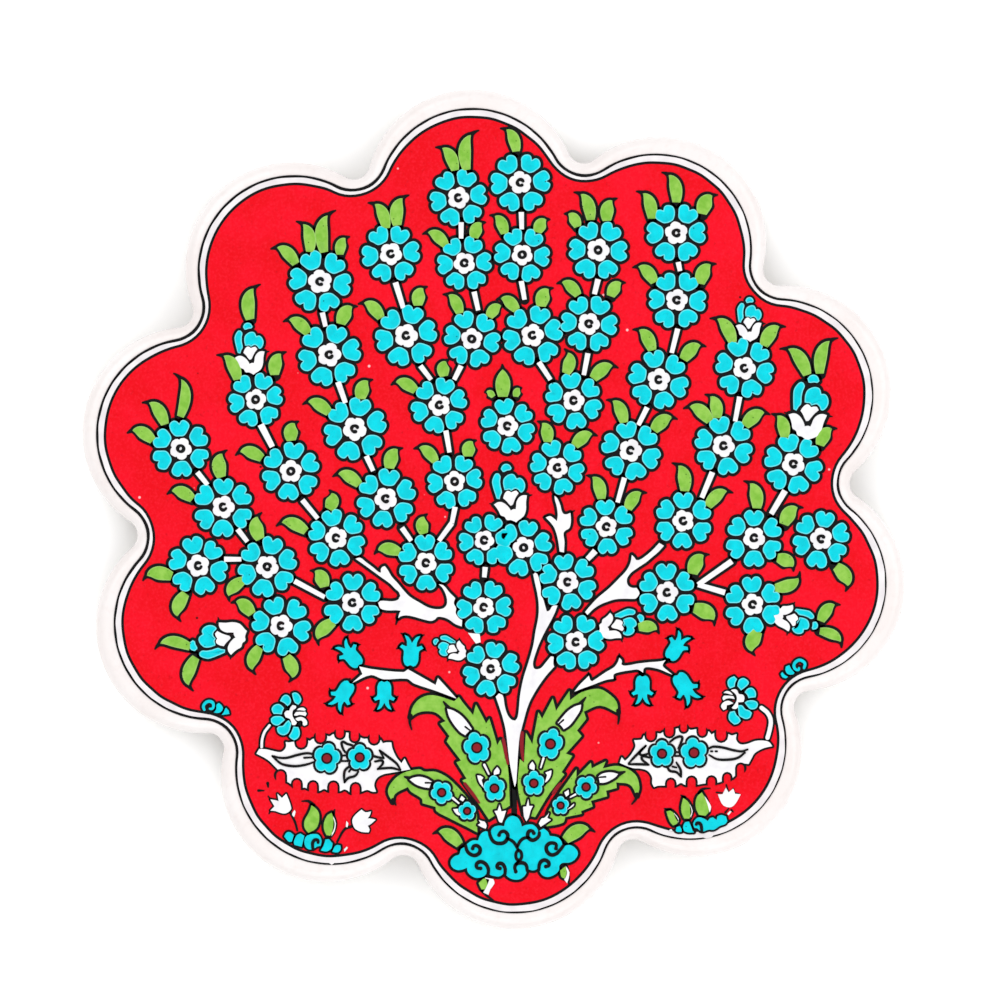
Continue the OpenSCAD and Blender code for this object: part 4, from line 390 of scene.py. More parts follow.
CLOUD = [
    (2.3, -68.5), (2.7, -67.2), (3.8, -66.3), (5.1, -66.6), (5.8, -67.6), (6.1, -68.6), (7.2, -68.2),
    (8.5, -68.2), (9.4, -69), (9.7, -69.9), (10.1, -69.4), (10.8, -69), (11.7, -69.7), (12.1, -70.6),
    (13, -70.7), (14, -71), (14.7, -71.9), (14.9, -73.1), (15.6, -72.7), (16.6, -72.6), (17.7, -73.3),
    (18.2, -74.4), (17.6, -75.6), (16.4, -76.3), (14.9, -76.4), (14.2, -77), (14.1, -78), (13.2, -78.9),
    (11.9, -79.4), (10.8, -79.2), (10.1, -78.4), (9.8, -77.2), (9.2, -77.8), (8.5, -78), (7.7, -77.8),
    (7.1, -77.4), (7, -78.7), (6.1, -79.7), (5.1, -80), (3.8, -79.8), (2.7, -79), (2.3, -78.2), (2, -78.8),
    (1.2, -79.3), (0.1, -79.2), (-0.8, -78.9), (-1.2, -78.1), (-1.5, -78.7), (-2.4, -79.4), (-3.8, -79.6),
    (-5, -79), (-5.6, -78.2), (-5.7, -77.4), (-6.7, -77.8), (-7.9, -77.9), (-9, -77.2), (-9.2, -76),
    (-8.4, -75), (-7.4, -74.6), (-7, -73.5), (-6.1, -72.9), (-5.5, -72.2), (-4.5, -71.6), (-3.3, -71.6),
    (-2.8, -70.3), (-1.8, -69.6), (-1.1, -69.8), (-0.7, -70.2), (-0.2, -68.9), (1, -68.4),
]
CLOUD_CURLS = [
    [(-0.9, -69.7), (-0.7, -70.6), (-0.1, -71.7), (1, -72.2), (2.3, -72), (3, -71.1), (3, -70.2),
     (2.3, -69.6), (1.5, -69.8), (1.2, -70.4)],
    [(9.9, -69.9), (9.8, -70.6), (9.1, -71.3), (8.3, -71.5), (7.5, -70.9), (7.4, -70.1), (7.8, -69.5),
     (8.5, -69.6), (8.7, -70)],
    [(-6, -72.7), (-5.8, -73.6), (-5.2, -74.4), (-4.1, -74.8), (-3.1, -74.3), (-2.9, -73.4),
     (-3.5, -72.7), (-4.3, -72.8), (-4.5, -73.3)],
    [(15.1, -72.7), (14.4, -73.6), (13.6, -74.4), (12.5, -74.7), (11.6, -74), (11.4, -73), (11.9, -72.3),
     (12.7, -72.1), (13.5, -72.4), (13.5, -73.3)],
    [(-1.2, -79), (-1.1, -77.9), (-1.5, -76.9), (-2.2, -76.3), (-3.1, -76.2), (-3.7, -76.8),
     (-3.5, -77.5), (-2.8, -77.6)],
    [(2.5, -78.8), (2.5, -77.7), (2.1, -76.8), (1.3, -76.5), (0.8, -77), (0.9, -77.5), (1.4, -77.6)],
    [(7.3, -78.1), (7.1, -77), (6.6, -76.5), (5.7, -76.4), (4.9, -76.7), (4.6, -77.4), (4.8, -78.3)],
    [(9.8, -77.9), (9.9, -76.8), (10.3, -76.1), (11.1, -75.8), (11.9, -76.3), (11.9, -77), (11.3, -77.2)],
]
CLOUD_STRANDS = [
    [(3, -71.1), (4.2, -71.8), (4.9, -72.7), (5.3, -73.6)],
    [(7.6, -70.9), (6.5, -71.1), (5.7, -71.8), (5.2, -72.8)],
    [(5.4, -76), (4.9, -76.7)],
]
CLOUD_KNOT = (5.45, -74.8)

# The stalk of each half carnation
CARNATION_STALKS = [
    ([(57.9, -42.9), (59.2, -44), (59.9, -45.6), (59.7, -47.5), (59.2, -49.4)], 0.85, 0.85),
    ([(-48.4, -46.7), (-49.5, -48.2), (-50, -49.8), (-50.1, -51.4)], 0.5, 0.5),
]

# Half carnations: petals, then the white frill, then the knots of ink between its strands
CARNATION_LEAVES = [
    [(-43.5, -39.8), (-42.9, -39.6), (-42.2, -39.9), (-41.6, -40.9), (-41.7, -41.6), (-42.2, -42.2),
     (-42.9, -41.8), (-43.3, -40.9)],
    [(-46.1, -41.4), (-45.6, -40.5), (-44.9, -40.1), (-44.2, -40.4), (-43.8, -41.2), (-43.9, -41.9),
     (-44.5, -42.5), (-45.3, -41.8)],
    [(-47.9, -43), (-47.3, -42.3), (-46.4, -42.1), (-45.7, -42.5), (-45.3, -43), (-45.6, -43.6),
     (-45.8, -44.3), (-46.8, -44.2), (-47.5, -44.2), (-47.8, -43.7)],
    [(-48.1, -45.3), (-47.5, -44.8), (-46.7, -44.7), (-45.8, -44.8), (-45.1, -45.5), (-45.8, -46.1),
     (-46.6, -46.7), (-47.5, -46.5), (-48, -46)],
    [(-44.3, -45.6), (-43.7, -46.3), (-43.9, -47), (-44.1, -47.8), (-44.6, -48.5), (-45.5, -48.8),
     (-46.5, -48.3), (-46.8, -47.4), (-46.4, -46.9), (-45.5, -46.8), (-44.9, -46.1)],
    [(-43.2, -47), (-42.2, -47.1), (-41.9, -48), (-42, -49), (-42.5, -49.6), (-43.1, -49.9),
     (-43.9, -49.4), (-44.2, -49), (-43.7, -48.2)],
    [(50.6, -37.2), (51.1, -36.5), (52, -36.1), (52.6, -36.7), (52.2, -37.5), (52.1, -38.3),
     (51.1, -38.7), (50.7, -38.1)],
    [(52.9, -37.2), (53.3, -36.7), (54.1, -36.5), (55, -37.1), (55.1, -37.7), (54.3, -38.5),
     (53.5, -39.1), (53, -38.5), (52.7, -38.2)],
    [(54.3, -39.5), (54.9, -38.8), (55.8, -38.6), (56.5, -39.2), (56.7, -40), (56.6, -40.6),
     (55.6, -40.7), (55.1, -40.8), (54.9, -40.2)],
    [(54.3, -41.8), (54.9, -41.4), (55.9, -41.3), (56.8, -41.6), (57.1, -42.2), (56.7, -43),
     (55.6, -43.2), (54.9, -42.6)],
    [(52.8, -42.4), (53.7, -42.4), (54.4, -43.2), (55.3, -43.5), (55.8, -44), (55.4, -45), (54.5, -45.3),
     (53.7, -45), (53.1, -44.6), (52.9, -43.4)],
    [(51.1, -43.8), (52.1, -43.6), (52.5, -44.5), (53, -44.9), (53.4, -45.7), (52.8, -46.3), (52, -46.5),
     (51, -45.6), (50.8, -44.7)],
]
CARNATION_FRILL = [
    [(-45.2, -44.1), (-44.8, -43.6), (-44.1, -43.5), (-43.9, -42.9), (-43.4, -42.3), (-42.7, -42.5),
     (-42.7, -42.9), (-43.3, -43.4), (-43.5, -44.1), (-43.4, -44.8), (-43, -45.5), (-42.5, -46.1),
     (-42.9, -46.6), (-43.5, -46.6), (-43.9, -45.4), (-44.4, -45.1), (-44.9, -44.9)],
    [(-42.5, -43.4), (-42, -43), (-41.1, -42.9), (-40.6, -43.3), (-40.8, -43.5), (-41.8, -43.4)],
    [(-43.1, -44.5), (-42.8, -44), (-42.5, -43.8), (-41, -43.8), (-40.7, -43.7), (-40.4, -44.2),
     (-40.7, -44.7), (-41.2, -44.5), (-42, -44.4), (-42.6, -44.6)],
    [(-42.8, -45.3), (-42.3, -45), (-41.5, -44.9), (-40.7, -45.3), (-40.3, -45.9), (-40.3, -46.5),
     (-40.9, -46.8), (-41.2, -46.5), (-41.2, -46), (-41.6, -45.6), (-42.3, -45.7)],
    [(51.3, -39.1), (52, -38.9), (52.6, -39.1), (53, -39.9), (53.9, -40.1), (54.2, -40.8), (54, -41.6),
     (52.8, -41.7), (52.8, -42.7), (52.4, -43.1), (51.8, -43.1), (51.5, -42.9), (52.1, -42.2),
     (52.5, -41.5), (52.6, -40.6), (52.2, -39.8)],
    [(49.7, -39.7), (50.3, -39.3), (51, -39.4), (51.7, -40.1), (50.9, -39.9), (50.2, -39.7)],
    [(49.5, -40.8), (49.8, -40.3), (50.8, -40.3), (51.8, -40.4), (52.1, -41), (51.1, -40.8),
     (50.3, -40.9), (49.7, -41.3)],
    [(49.2, -42.7), (49.3, -42.2), (49.9, -41.6), (50.8, -41.4), (51.8, -41.9), (51, -42.2),
     (50.4, -42.3), (50.3, -43.1), (49.7, -43.4)],
]
CARNATION_KNOTS = [
    (-42, -46.3, 0.8), (-44.3, -42.9, 0.6), (-44.4, -45.4, 0.4), (51, -42.7, 0.8), (53.6, -39.5, 0.6),
]

# The lower corners: mounds, leaves and tulips
MOUNDS = [
    [(-45.2, -70.7), (-44.7, -69.9), (-44, -69.8), (-43.2, -70.4), (-43.6, -71.8), (-44.2, -71.8)],
    [(-43.1, -71.8), (-42.5, -70.5), (-41.7, -70.1), (-40.9, -70.6), (-41.2, -71.8), (-41.5, -72.9),
     (-43, -72.5)],
    [(-40.8, -71.4), (-40.2, -70.5), (-38.9, -70.2), (-37.8, -70.4), (-37.2, -71.6), (-37.4, -72.7),
     (-38.2, -72.9), (-39, -73.4), (-40, -73.4), (-40.7, -72.7)],
    [(-37.3, -73.7), (-36.7, -72.7), (-36.3, -71.4), (-35.6, -71.3), (-34.8, -72.2), (-35.1, -73.3),
     (-36.1, -73.9)],
    [(-34.8, -74), (-34.4, -73.1), (-33.9, -72.6), (-33.1, -72.7), (-33.1, -73.5), (-33.7, -74.1)],
    [(39.4, -69.5), (39.6, -68.7), (40.2, -68.5), (40.6, -69.2), (40.6, -69.7), (39.8, -69.7)],
    [(41, -68.7), (41.4, -67.7), (42.2, -67.5), (42.6, -68.4), (43, -69.5), (43.3, -69.8), (42, -69.8),
     (41.2, -69.5)],
    [(43.2, -68), (43.6, -67.1), (44.4, -66.6), (45.5, -66.9), (46.3, -67.4), (46.8, -66.8),
     (47.4, -66.6), (48.2, -67.2), (48.4, -66.4), (49.2, -66.1), (50.2, -66.4), (50.5, -67.4),
     (50, -68), (48.9, -68.4), (47.6, -69.2), (46.5, -69.2), (45, -69.6), (44, -68.9), (43.4, -68.8)],
    [(-59.8, -42.2), (-59.3, -41.9), (-58.7, -42.5), (-58.5, -43.1), (-59, -43.8), (-59.7, -44),
     (-60.4, -43.9), (-59.9, -43.2)],
    [(-58, -43.2), (-57.8, -42.9), (-57.3, -43.5), (-57.1, -44.2), (-57.8, -44.3), (-58.7, -44.4),
     (-58.3, -43.9)],
    [(63.2, -34), (63.9, -33.7), (64.3, -34.5), (65, -35.3), (64.8, -35.6), (64, -35.7), (63.4, -35.4),
     (63.1, -34.7)],
    [(62.1, -35.6), (62.4, -35.2), (62.9, -35.8), (63.6, -36.2), (63.1, -36.5), (62.4, -36.2)],
]
MOUND_CURLS = [
    [(-39, -73.6), (-39.1, -72.2), (-38.7, -71.5), (-38, -71.5), (-37.9, -72)],
    [(45, -69.7), (44.9, -68.5), (44.6, -67.9), (44, -67.8), (43.8, -68.1)],
]
# Thin turquoise curls of the side scrolls, with the blot of ink under each
SCROLL_CURLS = [
    ([(-62.5, -43.3), (-62.7, -42.6), (-62.2, -41.8), (-61.4, -41.5), (-60.7, -41.8), (-60.5, -42.5),
      (-60.8, -43.1), (-61.3, -43.1)], (-61.6, -43.6, 0.7)),
    ([(67.1, -34.3), (67.3, -33.4), (66.8, -32.8), (66, -32.6), (65.2, -33.1), (64.9, -33.9),
      (65.3, -34.6), (65.9, -34.7), (66, -34.3)], (66.3, -34.8, 0.7)),
]
CORNER_LEAVES = [
    ([(-39.3, -64), (-38.2, -64.9), (-37.7, -66), (-37.8, -67.7), (-38.4, -69), (-40, -69.9),
      (-40.8, -68.8), (-40.8, -67.3), (-40, -65.8), (-39.6, -64.9)],
      [(-38.9, -64), (-40, -63.1), (-41.4, -63.1)]),
    ([(-35, -65.6), (-34.6, -66.8), (-34.3, -68.1), (-34.7, -69.6), (-35.3, -70.5), (-36.1, -70.4),
      (-36.6, -69.2), (-36.6, -67.7), (-35.9, -66.2)], [(-34.7, -65.8), (-34.3, -64.9)]),
    ([(37.4, -65.3), (38.3, -65.2), (39.3, -66.1), (40, -67.2), (39.6, -67.9), (38.8, -68.3),
      (38.2, -67.6), (37.7, -66.4)], [(38.2, -65), (36.9, -64.7)]),
    ([(41, -62.4), (42, -63.2), (42.6, -64.4), (42.8, -65.5), (42.3, -66.8), (41.2, -66.8),
      (40.7, -65.6), (40.6, -64.2)], [(41.2, -62.3), (40.5, -61.8)]),
    ([(45, -61.2), (45.7, -62.4), (46.3, -64), (46.5, -65.3), (45.8, -66.2), (44.4, -66), (43.8, -64.7),
      (43.7, -63.2), (44.1, -62)], [(44.5, -61.3), (45.2, -60.5), (46.8, -60.3)]),
    ([(-2.8, -80.4), (-2, -79.8), (-0.9, -80), (-1.3, -81.1), (-1.8, -82.1), (-2.6, -82.1), (-3.2, -80.8)],
     [(-2.4, -82.4), (-1.3, -83.6), (0, -84.5)]),
    ([(14.4, -78.1), (15.5, -77.2), (15.9, -78.5), (15.5, -79.8), (14.7, -79.4)],
     [(16.1, -79.6), (16.3, -81.2)]),
]
# White left bare beside some leaves by the green being laid a little to one side
BARE_SLIVERS = [
    [(-34.6, -66.4), (-34.1, -67.9), (-34.4, -69.6), (-35, -70.6), (-34.8, -69.4), (-34.6, -68.2)],
    [(45.6, -62), (46.3, -63), (47, -64.3), (46.7, -65.5), (46.3, -64)],
    [(42.4, -63.7), (43, -65.2), (42.6, -66.6), (42.5, -65.2)],
    [(39, -65.6), (40, -66.9), (39.9, -67.6), (39.2, -66.5)],
    [(-1.8, -79.6), (-0.1, -79.9), (0.2, -80.8), (-0.7, -82.1), (-1.1, -83.3), (-2.2, -82.8), (-1.3, -81)],
    [(15.6, -77.1), (16.4, -78.5), (15.9, -80.8), (15.3, -80), (15.8, -78.6)],
    [(-43.4, -65.6), (-43, -65), (-42.8, -65.4), (-43.1, -66.5), (-43.5, -66)],
    [(-31.8, -67.4), (-31.4, -67.9), (-31.6, -68.7), (-31.9, -68.6)],
    [(50.5, -65.8), (51.1, -65.2), (51.4, -65.3), (50.8, -66.1)],
    [(-32.3, -73.5), (-31.7, -72.9), (-31.5, -73.2), (-32.2, -74)],
    [(37.9, -69.4), (38.4, -69.1), (38.7, -69.5)],
    [(-5.5, -26.7), (-3, -27), (-2.8, -28.7), (-3.8, -29)],
]
CORNER_TULIPS = [
    [(-48.2, -62.7), (-47.1, -62.9), (-46.4, -63.1), (-46.7, -61.5), (-45.7, -62.4), (-44.8, -61.5),
     (-44.3, -62.7), (-43.8, -64.2), (-43.8, -64.9), (-44.9, -65.7), (-46, -65.6), (-47.1, -65.2),
     (-48.2, -65.1), (-47.3, -64.2)],
    [(-30.5, -67.1), (-29.8, -66), (-28.5, -64.9), (-27.7, -65.5), (-26.5, -65.3), (-26.7, -66),
     (-27.2, -66.8), (-26.2, -66.9), (-25.5, -67.1), (-26.4, -67.9), (-27.2, -68.4), (-26.8, -69.2),
     (-27, -69.8), (-28.5, -69.7), (-29.8, -69.1), (-30.3, -68.3)],
    [(48.5, -61.6), (49.5, -61.6), (50.2, -60.2), (50.8, -61.2), (51.8, -60.4), (52.2, -61.5),
     (53.4, -61.6), (52.7, -62.9), (51.9, -64), (51, -64.4), (49.7, -64), (49, -62.9)],
]
# Places where the outer black line is rubbed through
OUTER_LINE_GAPS = [
    (46.5, -71.3), (52, -68.3), (57, -60), (61.5, -56), (-35, -76.4), (-6, -83), (30.5, -70.8),
]
# Loose black strokes: points, width at the start and at the end
LOOSE_INK = [
    ([(-44, -65.4), (-42.9, -67.6), (-42.4, -69.4)], 0.5, 0.4),
    ([(-30.6, -68.5), (-32.2, -69.2), (-33.8, -71.9)], 0.6, 0.4),
    ([(-48.2, -62.7), (-48.7, -62)], 0.4, 0.2), ([(-48.2, -65.1), (-48.5, -65.8)], 0.4, 0.2),
    ([(-48.8, -59.2), (-48.7, -60)], 0.6, 0.3), ([(-50.8, -60.8), (-49.6, -60.8)], 0.5, 0.2),
    ([(50.3, -59.6), (50.8, -61.1)], 0.3, 0.25), ([(51.8, -60.4), (52.1, -61.2), (53, -61.5)], 0.3, 0.2),
    ([(48.2, -61.2), (49.5, -61.3)], 0.3, 0.2), ([(52.2, -63.2), (52, -63.8)], 0.25, 0.2),
    ([(50.1, -65.5), (50.8, -64.7)], 0.4, 0.2), ([(51.4, -65), (51.8, -65.4)], 0.4, 0.2),
    ([(11.6, -1.5), (10.7, -1.7)], 0.5, 0.2), ([(16.6, -0.8), (17.5, -0.3)], 0.5, 0.2),
    ([(27.2, -32.2), (27.2, -31.3)], 0.8, 0.3), ([(20.6, -36.1), (20.5, -35.3)], 0.8, 0.3),
    ([(-20.2, -21.8), (-19.2, -21.5), (-17.9, -21.5)], 0.45, 0.3),
    ([(-20.6, -17.6), (-20.2, -17.3)], 0.4, 0.3),
    ([(-20.6, -23.4), (-21.1, -24.9)], 0.8, 0.2), ([(25.9, -36.6), (26.4, -36.8)], 0.8, 0.4),
    ([(31.9, -34.9), (32.2, -36)], 1.3, 1.2), ([(36.9, -32.8), (38, -32.7)], 1.2, 1.0),
]
TULIP_DOTS = [(-27.45, -67, 0.3), (-26.3, -67.1, 0.2)]


# ---------------------------------------------------------------- plane geometry, in millimetres

def turned(p, angle):
    c, s = math.cos(math.radians(angle)), math.sin(math.radians(angle))
    return (p[0] * c - p[1] * s, p[0] * s + p[1] * c)


def placed(points, at, angle, size=1.0):
    spun = [turned(p, angle) for p in points]
    return [(at[0] + size * x, at[1] + size * y) for x, y in spun]


def heading(a, b):
    return math.degrees(math.atan2(b[1] - a[1], b[0] - a[0]))


def arc(at, r, start, end, steps):
    step = (end - start) / steps
    spokes = (turned((r, 0), start + step * i) for i in range(steps + 1))
    return [(at[0] + x, at[1] + y) for x, y in spokes]


def disc(x, y, r, steps=28):
    spokes = (turned((r, 0), 360 * i / steps) for i in range(steps))
    return [(x + u, y + v) for u, v in spokes]


def past(angle, start):
    while angle < start:
        angle += 360
    return angle


def lobe(i, reach, r, pushed):
    """Centre and radius of a lobe; pushed says which lobes lie farther out than their place."""
    return turned((reach + pushed.get(i % LOBE_COUNT, 0), 0), FIRST_LOBE + i * LOBE_STEP), r


def hollow(a, b, r):
    """Centre of the circle of radius r that touches lobes a and b from outside."""
    span = math.dist(a[0], b[0])
    ra, rb = a[1] + r, b[1] + r
    along = (ra * ra - rb * rb + span * span) / (2 * span)
    out = math.sqrt(ra * ra - along * along)
    dx, dy = turned((along, -out), heading(a[0], b[0]))
    return a[0][0] + dx, a[0][1] + dy


def lobed(reach, r, hollow_r, pushed, inset):
    """Closed outline of lobes joined by tangent hollows, moved inwards by inset."""
    points = []
    for i in range(LOBE_COUNT):
        before, here, after = (lobe(i + k, reach, r, pushed) for k in (-1, 0, 1))
        h0, h1 = hollow(before, here, hollow_r), hollow(here, after, hollow_r)
        a0 = heading(here[0], h0)
        a1 = past(heading(here[0], h1), a0)
        b0 = past(heading(h1, here[0]), a1)
        b1 = past(heading(h1, after[0]), b0 - 360)
        points += arc(here[0], here[1] - inset, a0, a1, LOBE_ARC_STEPS)[:-1]
        points += arc(h1, hollow_r + inset, b0, b1, NOTCH_ARC_STEPS)[:-1]
    return points


def slab_outline(inset):
    return lobed(LOBE_REACH, LOBE_R, NOTCH_R, {}, inset)


def border_outline(inset):
    return lobed(BORDER_REACH, BORDER_R, BORDER_NOTCH_R, BORDER_NEARER, inset)


def middle(points):
    xs, ys = [p[0] for p in points], [p[1] for p in points]
    return (max(xs) + min(xs)) / 2, (max(ys) + min(ys)) / 2


MID = middle(slab_outline(0))


def flow(points, corner=55, steps=4):
    """Rounds a closed outline with smooth curves, and keeps its sharp corners."""
    n = len(points)
    vectors = [Vector(p) for p in points]
    out = []

    def is_corner(i):
        a, b = vectors[i] - vectors[i - 1], vectors[(i + 1) % n] - vectors[i]
        return math.degrees(a.angle(b, 0.0)) > corner

    def tangent(i, edge):
        if is_corner(i):
            return edge
        return (vectors[(i + 1) % n] - vectors[i - 1]).normalized() * edge.length

    for i in range(n):
        a, b = vectors[i], vectors[(i + 1) % n]
        edge = b - a
        ta, tb = tangent(i, edge), tangent((i + 1) % n, edge)
        for k in range(steps):
            t = k / steps
            h = (2 * t**3 - 3 * t**2 + 1, t**3 - 2 * t**2 + t, -2 * t**3 + 3 * t**2, t**3 - t**2)
            out.append(tuple(h[0] * a + h[1] * ta + h[2] * b + h[3] * tb))
    return out


def area(points):
    return sum(a[0] * b[1] - b[0] * a[1] for a, b in zip(points, points[1:] + points[:1])) / 2


def counter_clockwise(points):
    return points if area(points) > 0 else points[::-1]


def stroke(a, b, width_a, width_b):
    """A bar from a to b with its own width at each end, round at both ends."""
    angle = heading(a, b)
    return arc(a, width_a / 2, angle + 90, angle + 270, 6) + arc(b, width_b / 2, angle - 90, angle + 90, 6)


def grown(points, d):
    """What covers everything within d of an outline: the shape and a bar along each of its edges."""
    loop = zip(points, points[1:] + points[:1])
    return [points] + [stroke(a, b, 2 * d, 2 * d) for a, b in loop if math.dist(a, b) > 1e-4]


def line(points, widths):
    """A brush line through points as one bar per stretch."""
    return [stroke(a, b, wa, wb) for a, b, wa, wb in zip(points, points[1:], widths, widths[1:])]


def eased(points, steps=5):
    """A smooth open curve through points."""
    vectors = [Vector(p) for p in points]
    last = len(vectors) - 1
    out = []
    for i in range(last):
        a, b = vectors[i], vectors[i + 1]
        size = (b - a).length
        ta = (b - vectors[max(i - 1, 0)]).normalized() * size
        tb = (vectors[min(i + 2, last)] - a).normalized() * size
        for k in range(steps):
            t = k / steps
            h = (2 * t**3 - 3 * t**2 + 1, t**3 - 2 * t**2 + t, -2 * t**3 + 3 * t**2, t**3 - t**2)
            out.append(tuple(h[0] * a + h[1] * ta + h[2] * b + h[3] * tb))
    return out + [tuple(vectors[-1])]


def brush(points, start, end=None, belly=0.0):
    """A smooth brush line whose width runs from start to end, swelling by belly half way."""
    path = eased(points) if len(points) > 2 else list(points)
    end = start if end is None else end
    last = len(path) - 1
    widths = []
    for i in range(last + 1):
        widths.append(start + (end - start) * i / last + belly * math.sin(math.pi * i / last))
    return line(path, widths)


def shrunk(points, d):
    """A counter-clockwise outline with every corner moved d inwards."""
    n = len(points)
    out = []
    for i, p in enumerate(points):
        a, b = Vector(p) - Vector(points[i - 1]), Vector(points[(i + 1) % n]) - Vector(p)
        out_a, out_b = Vector((a.y, -a.x)).normalized(), Vector((b.y, -b.x)).normalized()
        both = out_a + out_b
        reach = 2 / max(both.length_squared, 2.0)
        out.append((p[0] - both.x * reach * d, p[1] - both.y * reach * d))
    return out


# ---------------------------------------------------------------- meshes

class Relief:
    """Gathers flat-topped and domed pads of one coat into a single mesh."""

    def __init__(self, low, high, flare=0.05):
        self.low, self.high, self.flare = low, high, flare
        self.verts, self.faces, self.smooth, self.edge = [], [], [], []

    def ring(self, points, z, edge):
        start = len(self.verts)
        for x, y in points:
            self.verts.append(((x - MID[0]) * MM, (y - MID[1]) * MM, z))
            self.edge.append(edge)
        return start

    def face(self, corners, smooth):
        self.faces.append(corners)
        self.smooth.append(smooth)

    def wall(self, lower, upper, n):
        for i in range(n):
            k = (i + 1) % n
            self.face((lower + i, lower + k, upper + k, upper + i), True)

    def dome(self, shape, crown=0.06, settle=0.45):
        """A pad with soft shoulders; shape(inset) gives the same number of points for any inset."""
        shoulders = ((0.0, 0.6, 1.0), (0.12, 0.9, 0.8), (0.25, 1.0, 0.25))
        height = self.high - self.low
        lower = self.ring(shape(-self.flare), self.low, 1.0)
        n = len(shape(0))
        self.face(tuple(lower + i for i in reversed(range(n))), False)
        for inset, rise, edge in shoulders:
            upper = self.ring(shape(inset), self.low + height * rise + crown * MM * inset, edge)
            self.wall(lower, upper, n)
            lower = upper
        centre = self.ring(shape(settle), self.high + crown * MM * settle, 0.0)
        self.wall(lower, centre, n)
        self.face(tuple(centre + i for i in range(n)), True)

    def pad(self, shapes, holes=()):
        """A flat pad over the union of overlapping outlines, less the holes, with slanting walls."""
        verts, loops, solid = [], [], len(shapes)
        for shape in [*shapes, *holes]:
            shape = counter_clockwise(shape)
            loops.append(list(range(len(verts), len(verts) + len(shape))))
            verts += [Vector(p) for p in shape]
        flat, _, tris, _, _, inside = delaunay_2d_cdt(verts, [], loops, 1, 1e-5)
        tris = [t for t, src in zip(tris, inside) if src and min(src) < solid and max(src) < solid]
        edges = {}
        for t in tris:
            for a, b in zip(t, t[1:] + t[:1]):
                edges[(a, b)] = True
        border = [(a, b) for a, b in edges if (b, a) not in edges]
        outward = {}
        for a, b in border:
            d = (flat[b] - flat[a]).normalized()
            for v in (a, b):
                outward[v] = outward.get(v, Vector((0, 0))) + Vector((d.y, -d.x))
        used = sorted({v for t in tris for v in t})
        feet = [flat[v] + self.flare * outward[v].normalized() if v in outward else flat[v] for v in used]
        top = self.ring([flat[v] for v in used], self.high, 0.3)
        foot = self.ring(feet, self.low, 1.0)
        order = {v: i for i, v in enumerate(used)}
        for t in tris:
            self.face(tuple(top + order[v] for v in t), False)
            self.face(tuple(foot + order[v] for v in reversed(t)), False)
        for a, b in border:
            a, b = order[a], order[b]
            self.face((foot + a, foot + b, top + b, top + a), True)

    def build(self, name, material, slot, *nodes):
        mesh = bpy.data.meshes.new(name)
        mesh.from_pydata(self.verts, [], self.faces)
        mesh.polygons.foreach_set("use_smooth", self.smooth)
        attribute = mesh.attributes.new("edge", "FLOAT", "POINT")
        attribute.data.foreach_set("value", self.edge)
        mesh.materials.append(material)
        mesh.update()
        piece = bpy.data.objects.new(name, mesh)
        bpy.context.scene.collection.objects.link(piece)
        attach(piece, "root")
        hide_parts(*nodes)
        return piece


def coat_of(node):
    low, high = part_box(node)
    return low[2], high[2]


# ---------------------------------------------------------------- materials

# The studio is this much brighter than the colours are mixed for, so that the paper goes white
LIGHT_GAIN = 1.45


def linear(red, green, blue):
    """A colour as it is seen, 0 to 255, in the renderer's linear scale, under the bright studio."""
    def one(c):
        c /= 255
        return (c / 12.92 if c <= 0.04045 else ((c + 0.055) / 1.055) ** 2.4) / LIGHT_GAIN
    return (one(red), one(green), one(blue), 1.0)


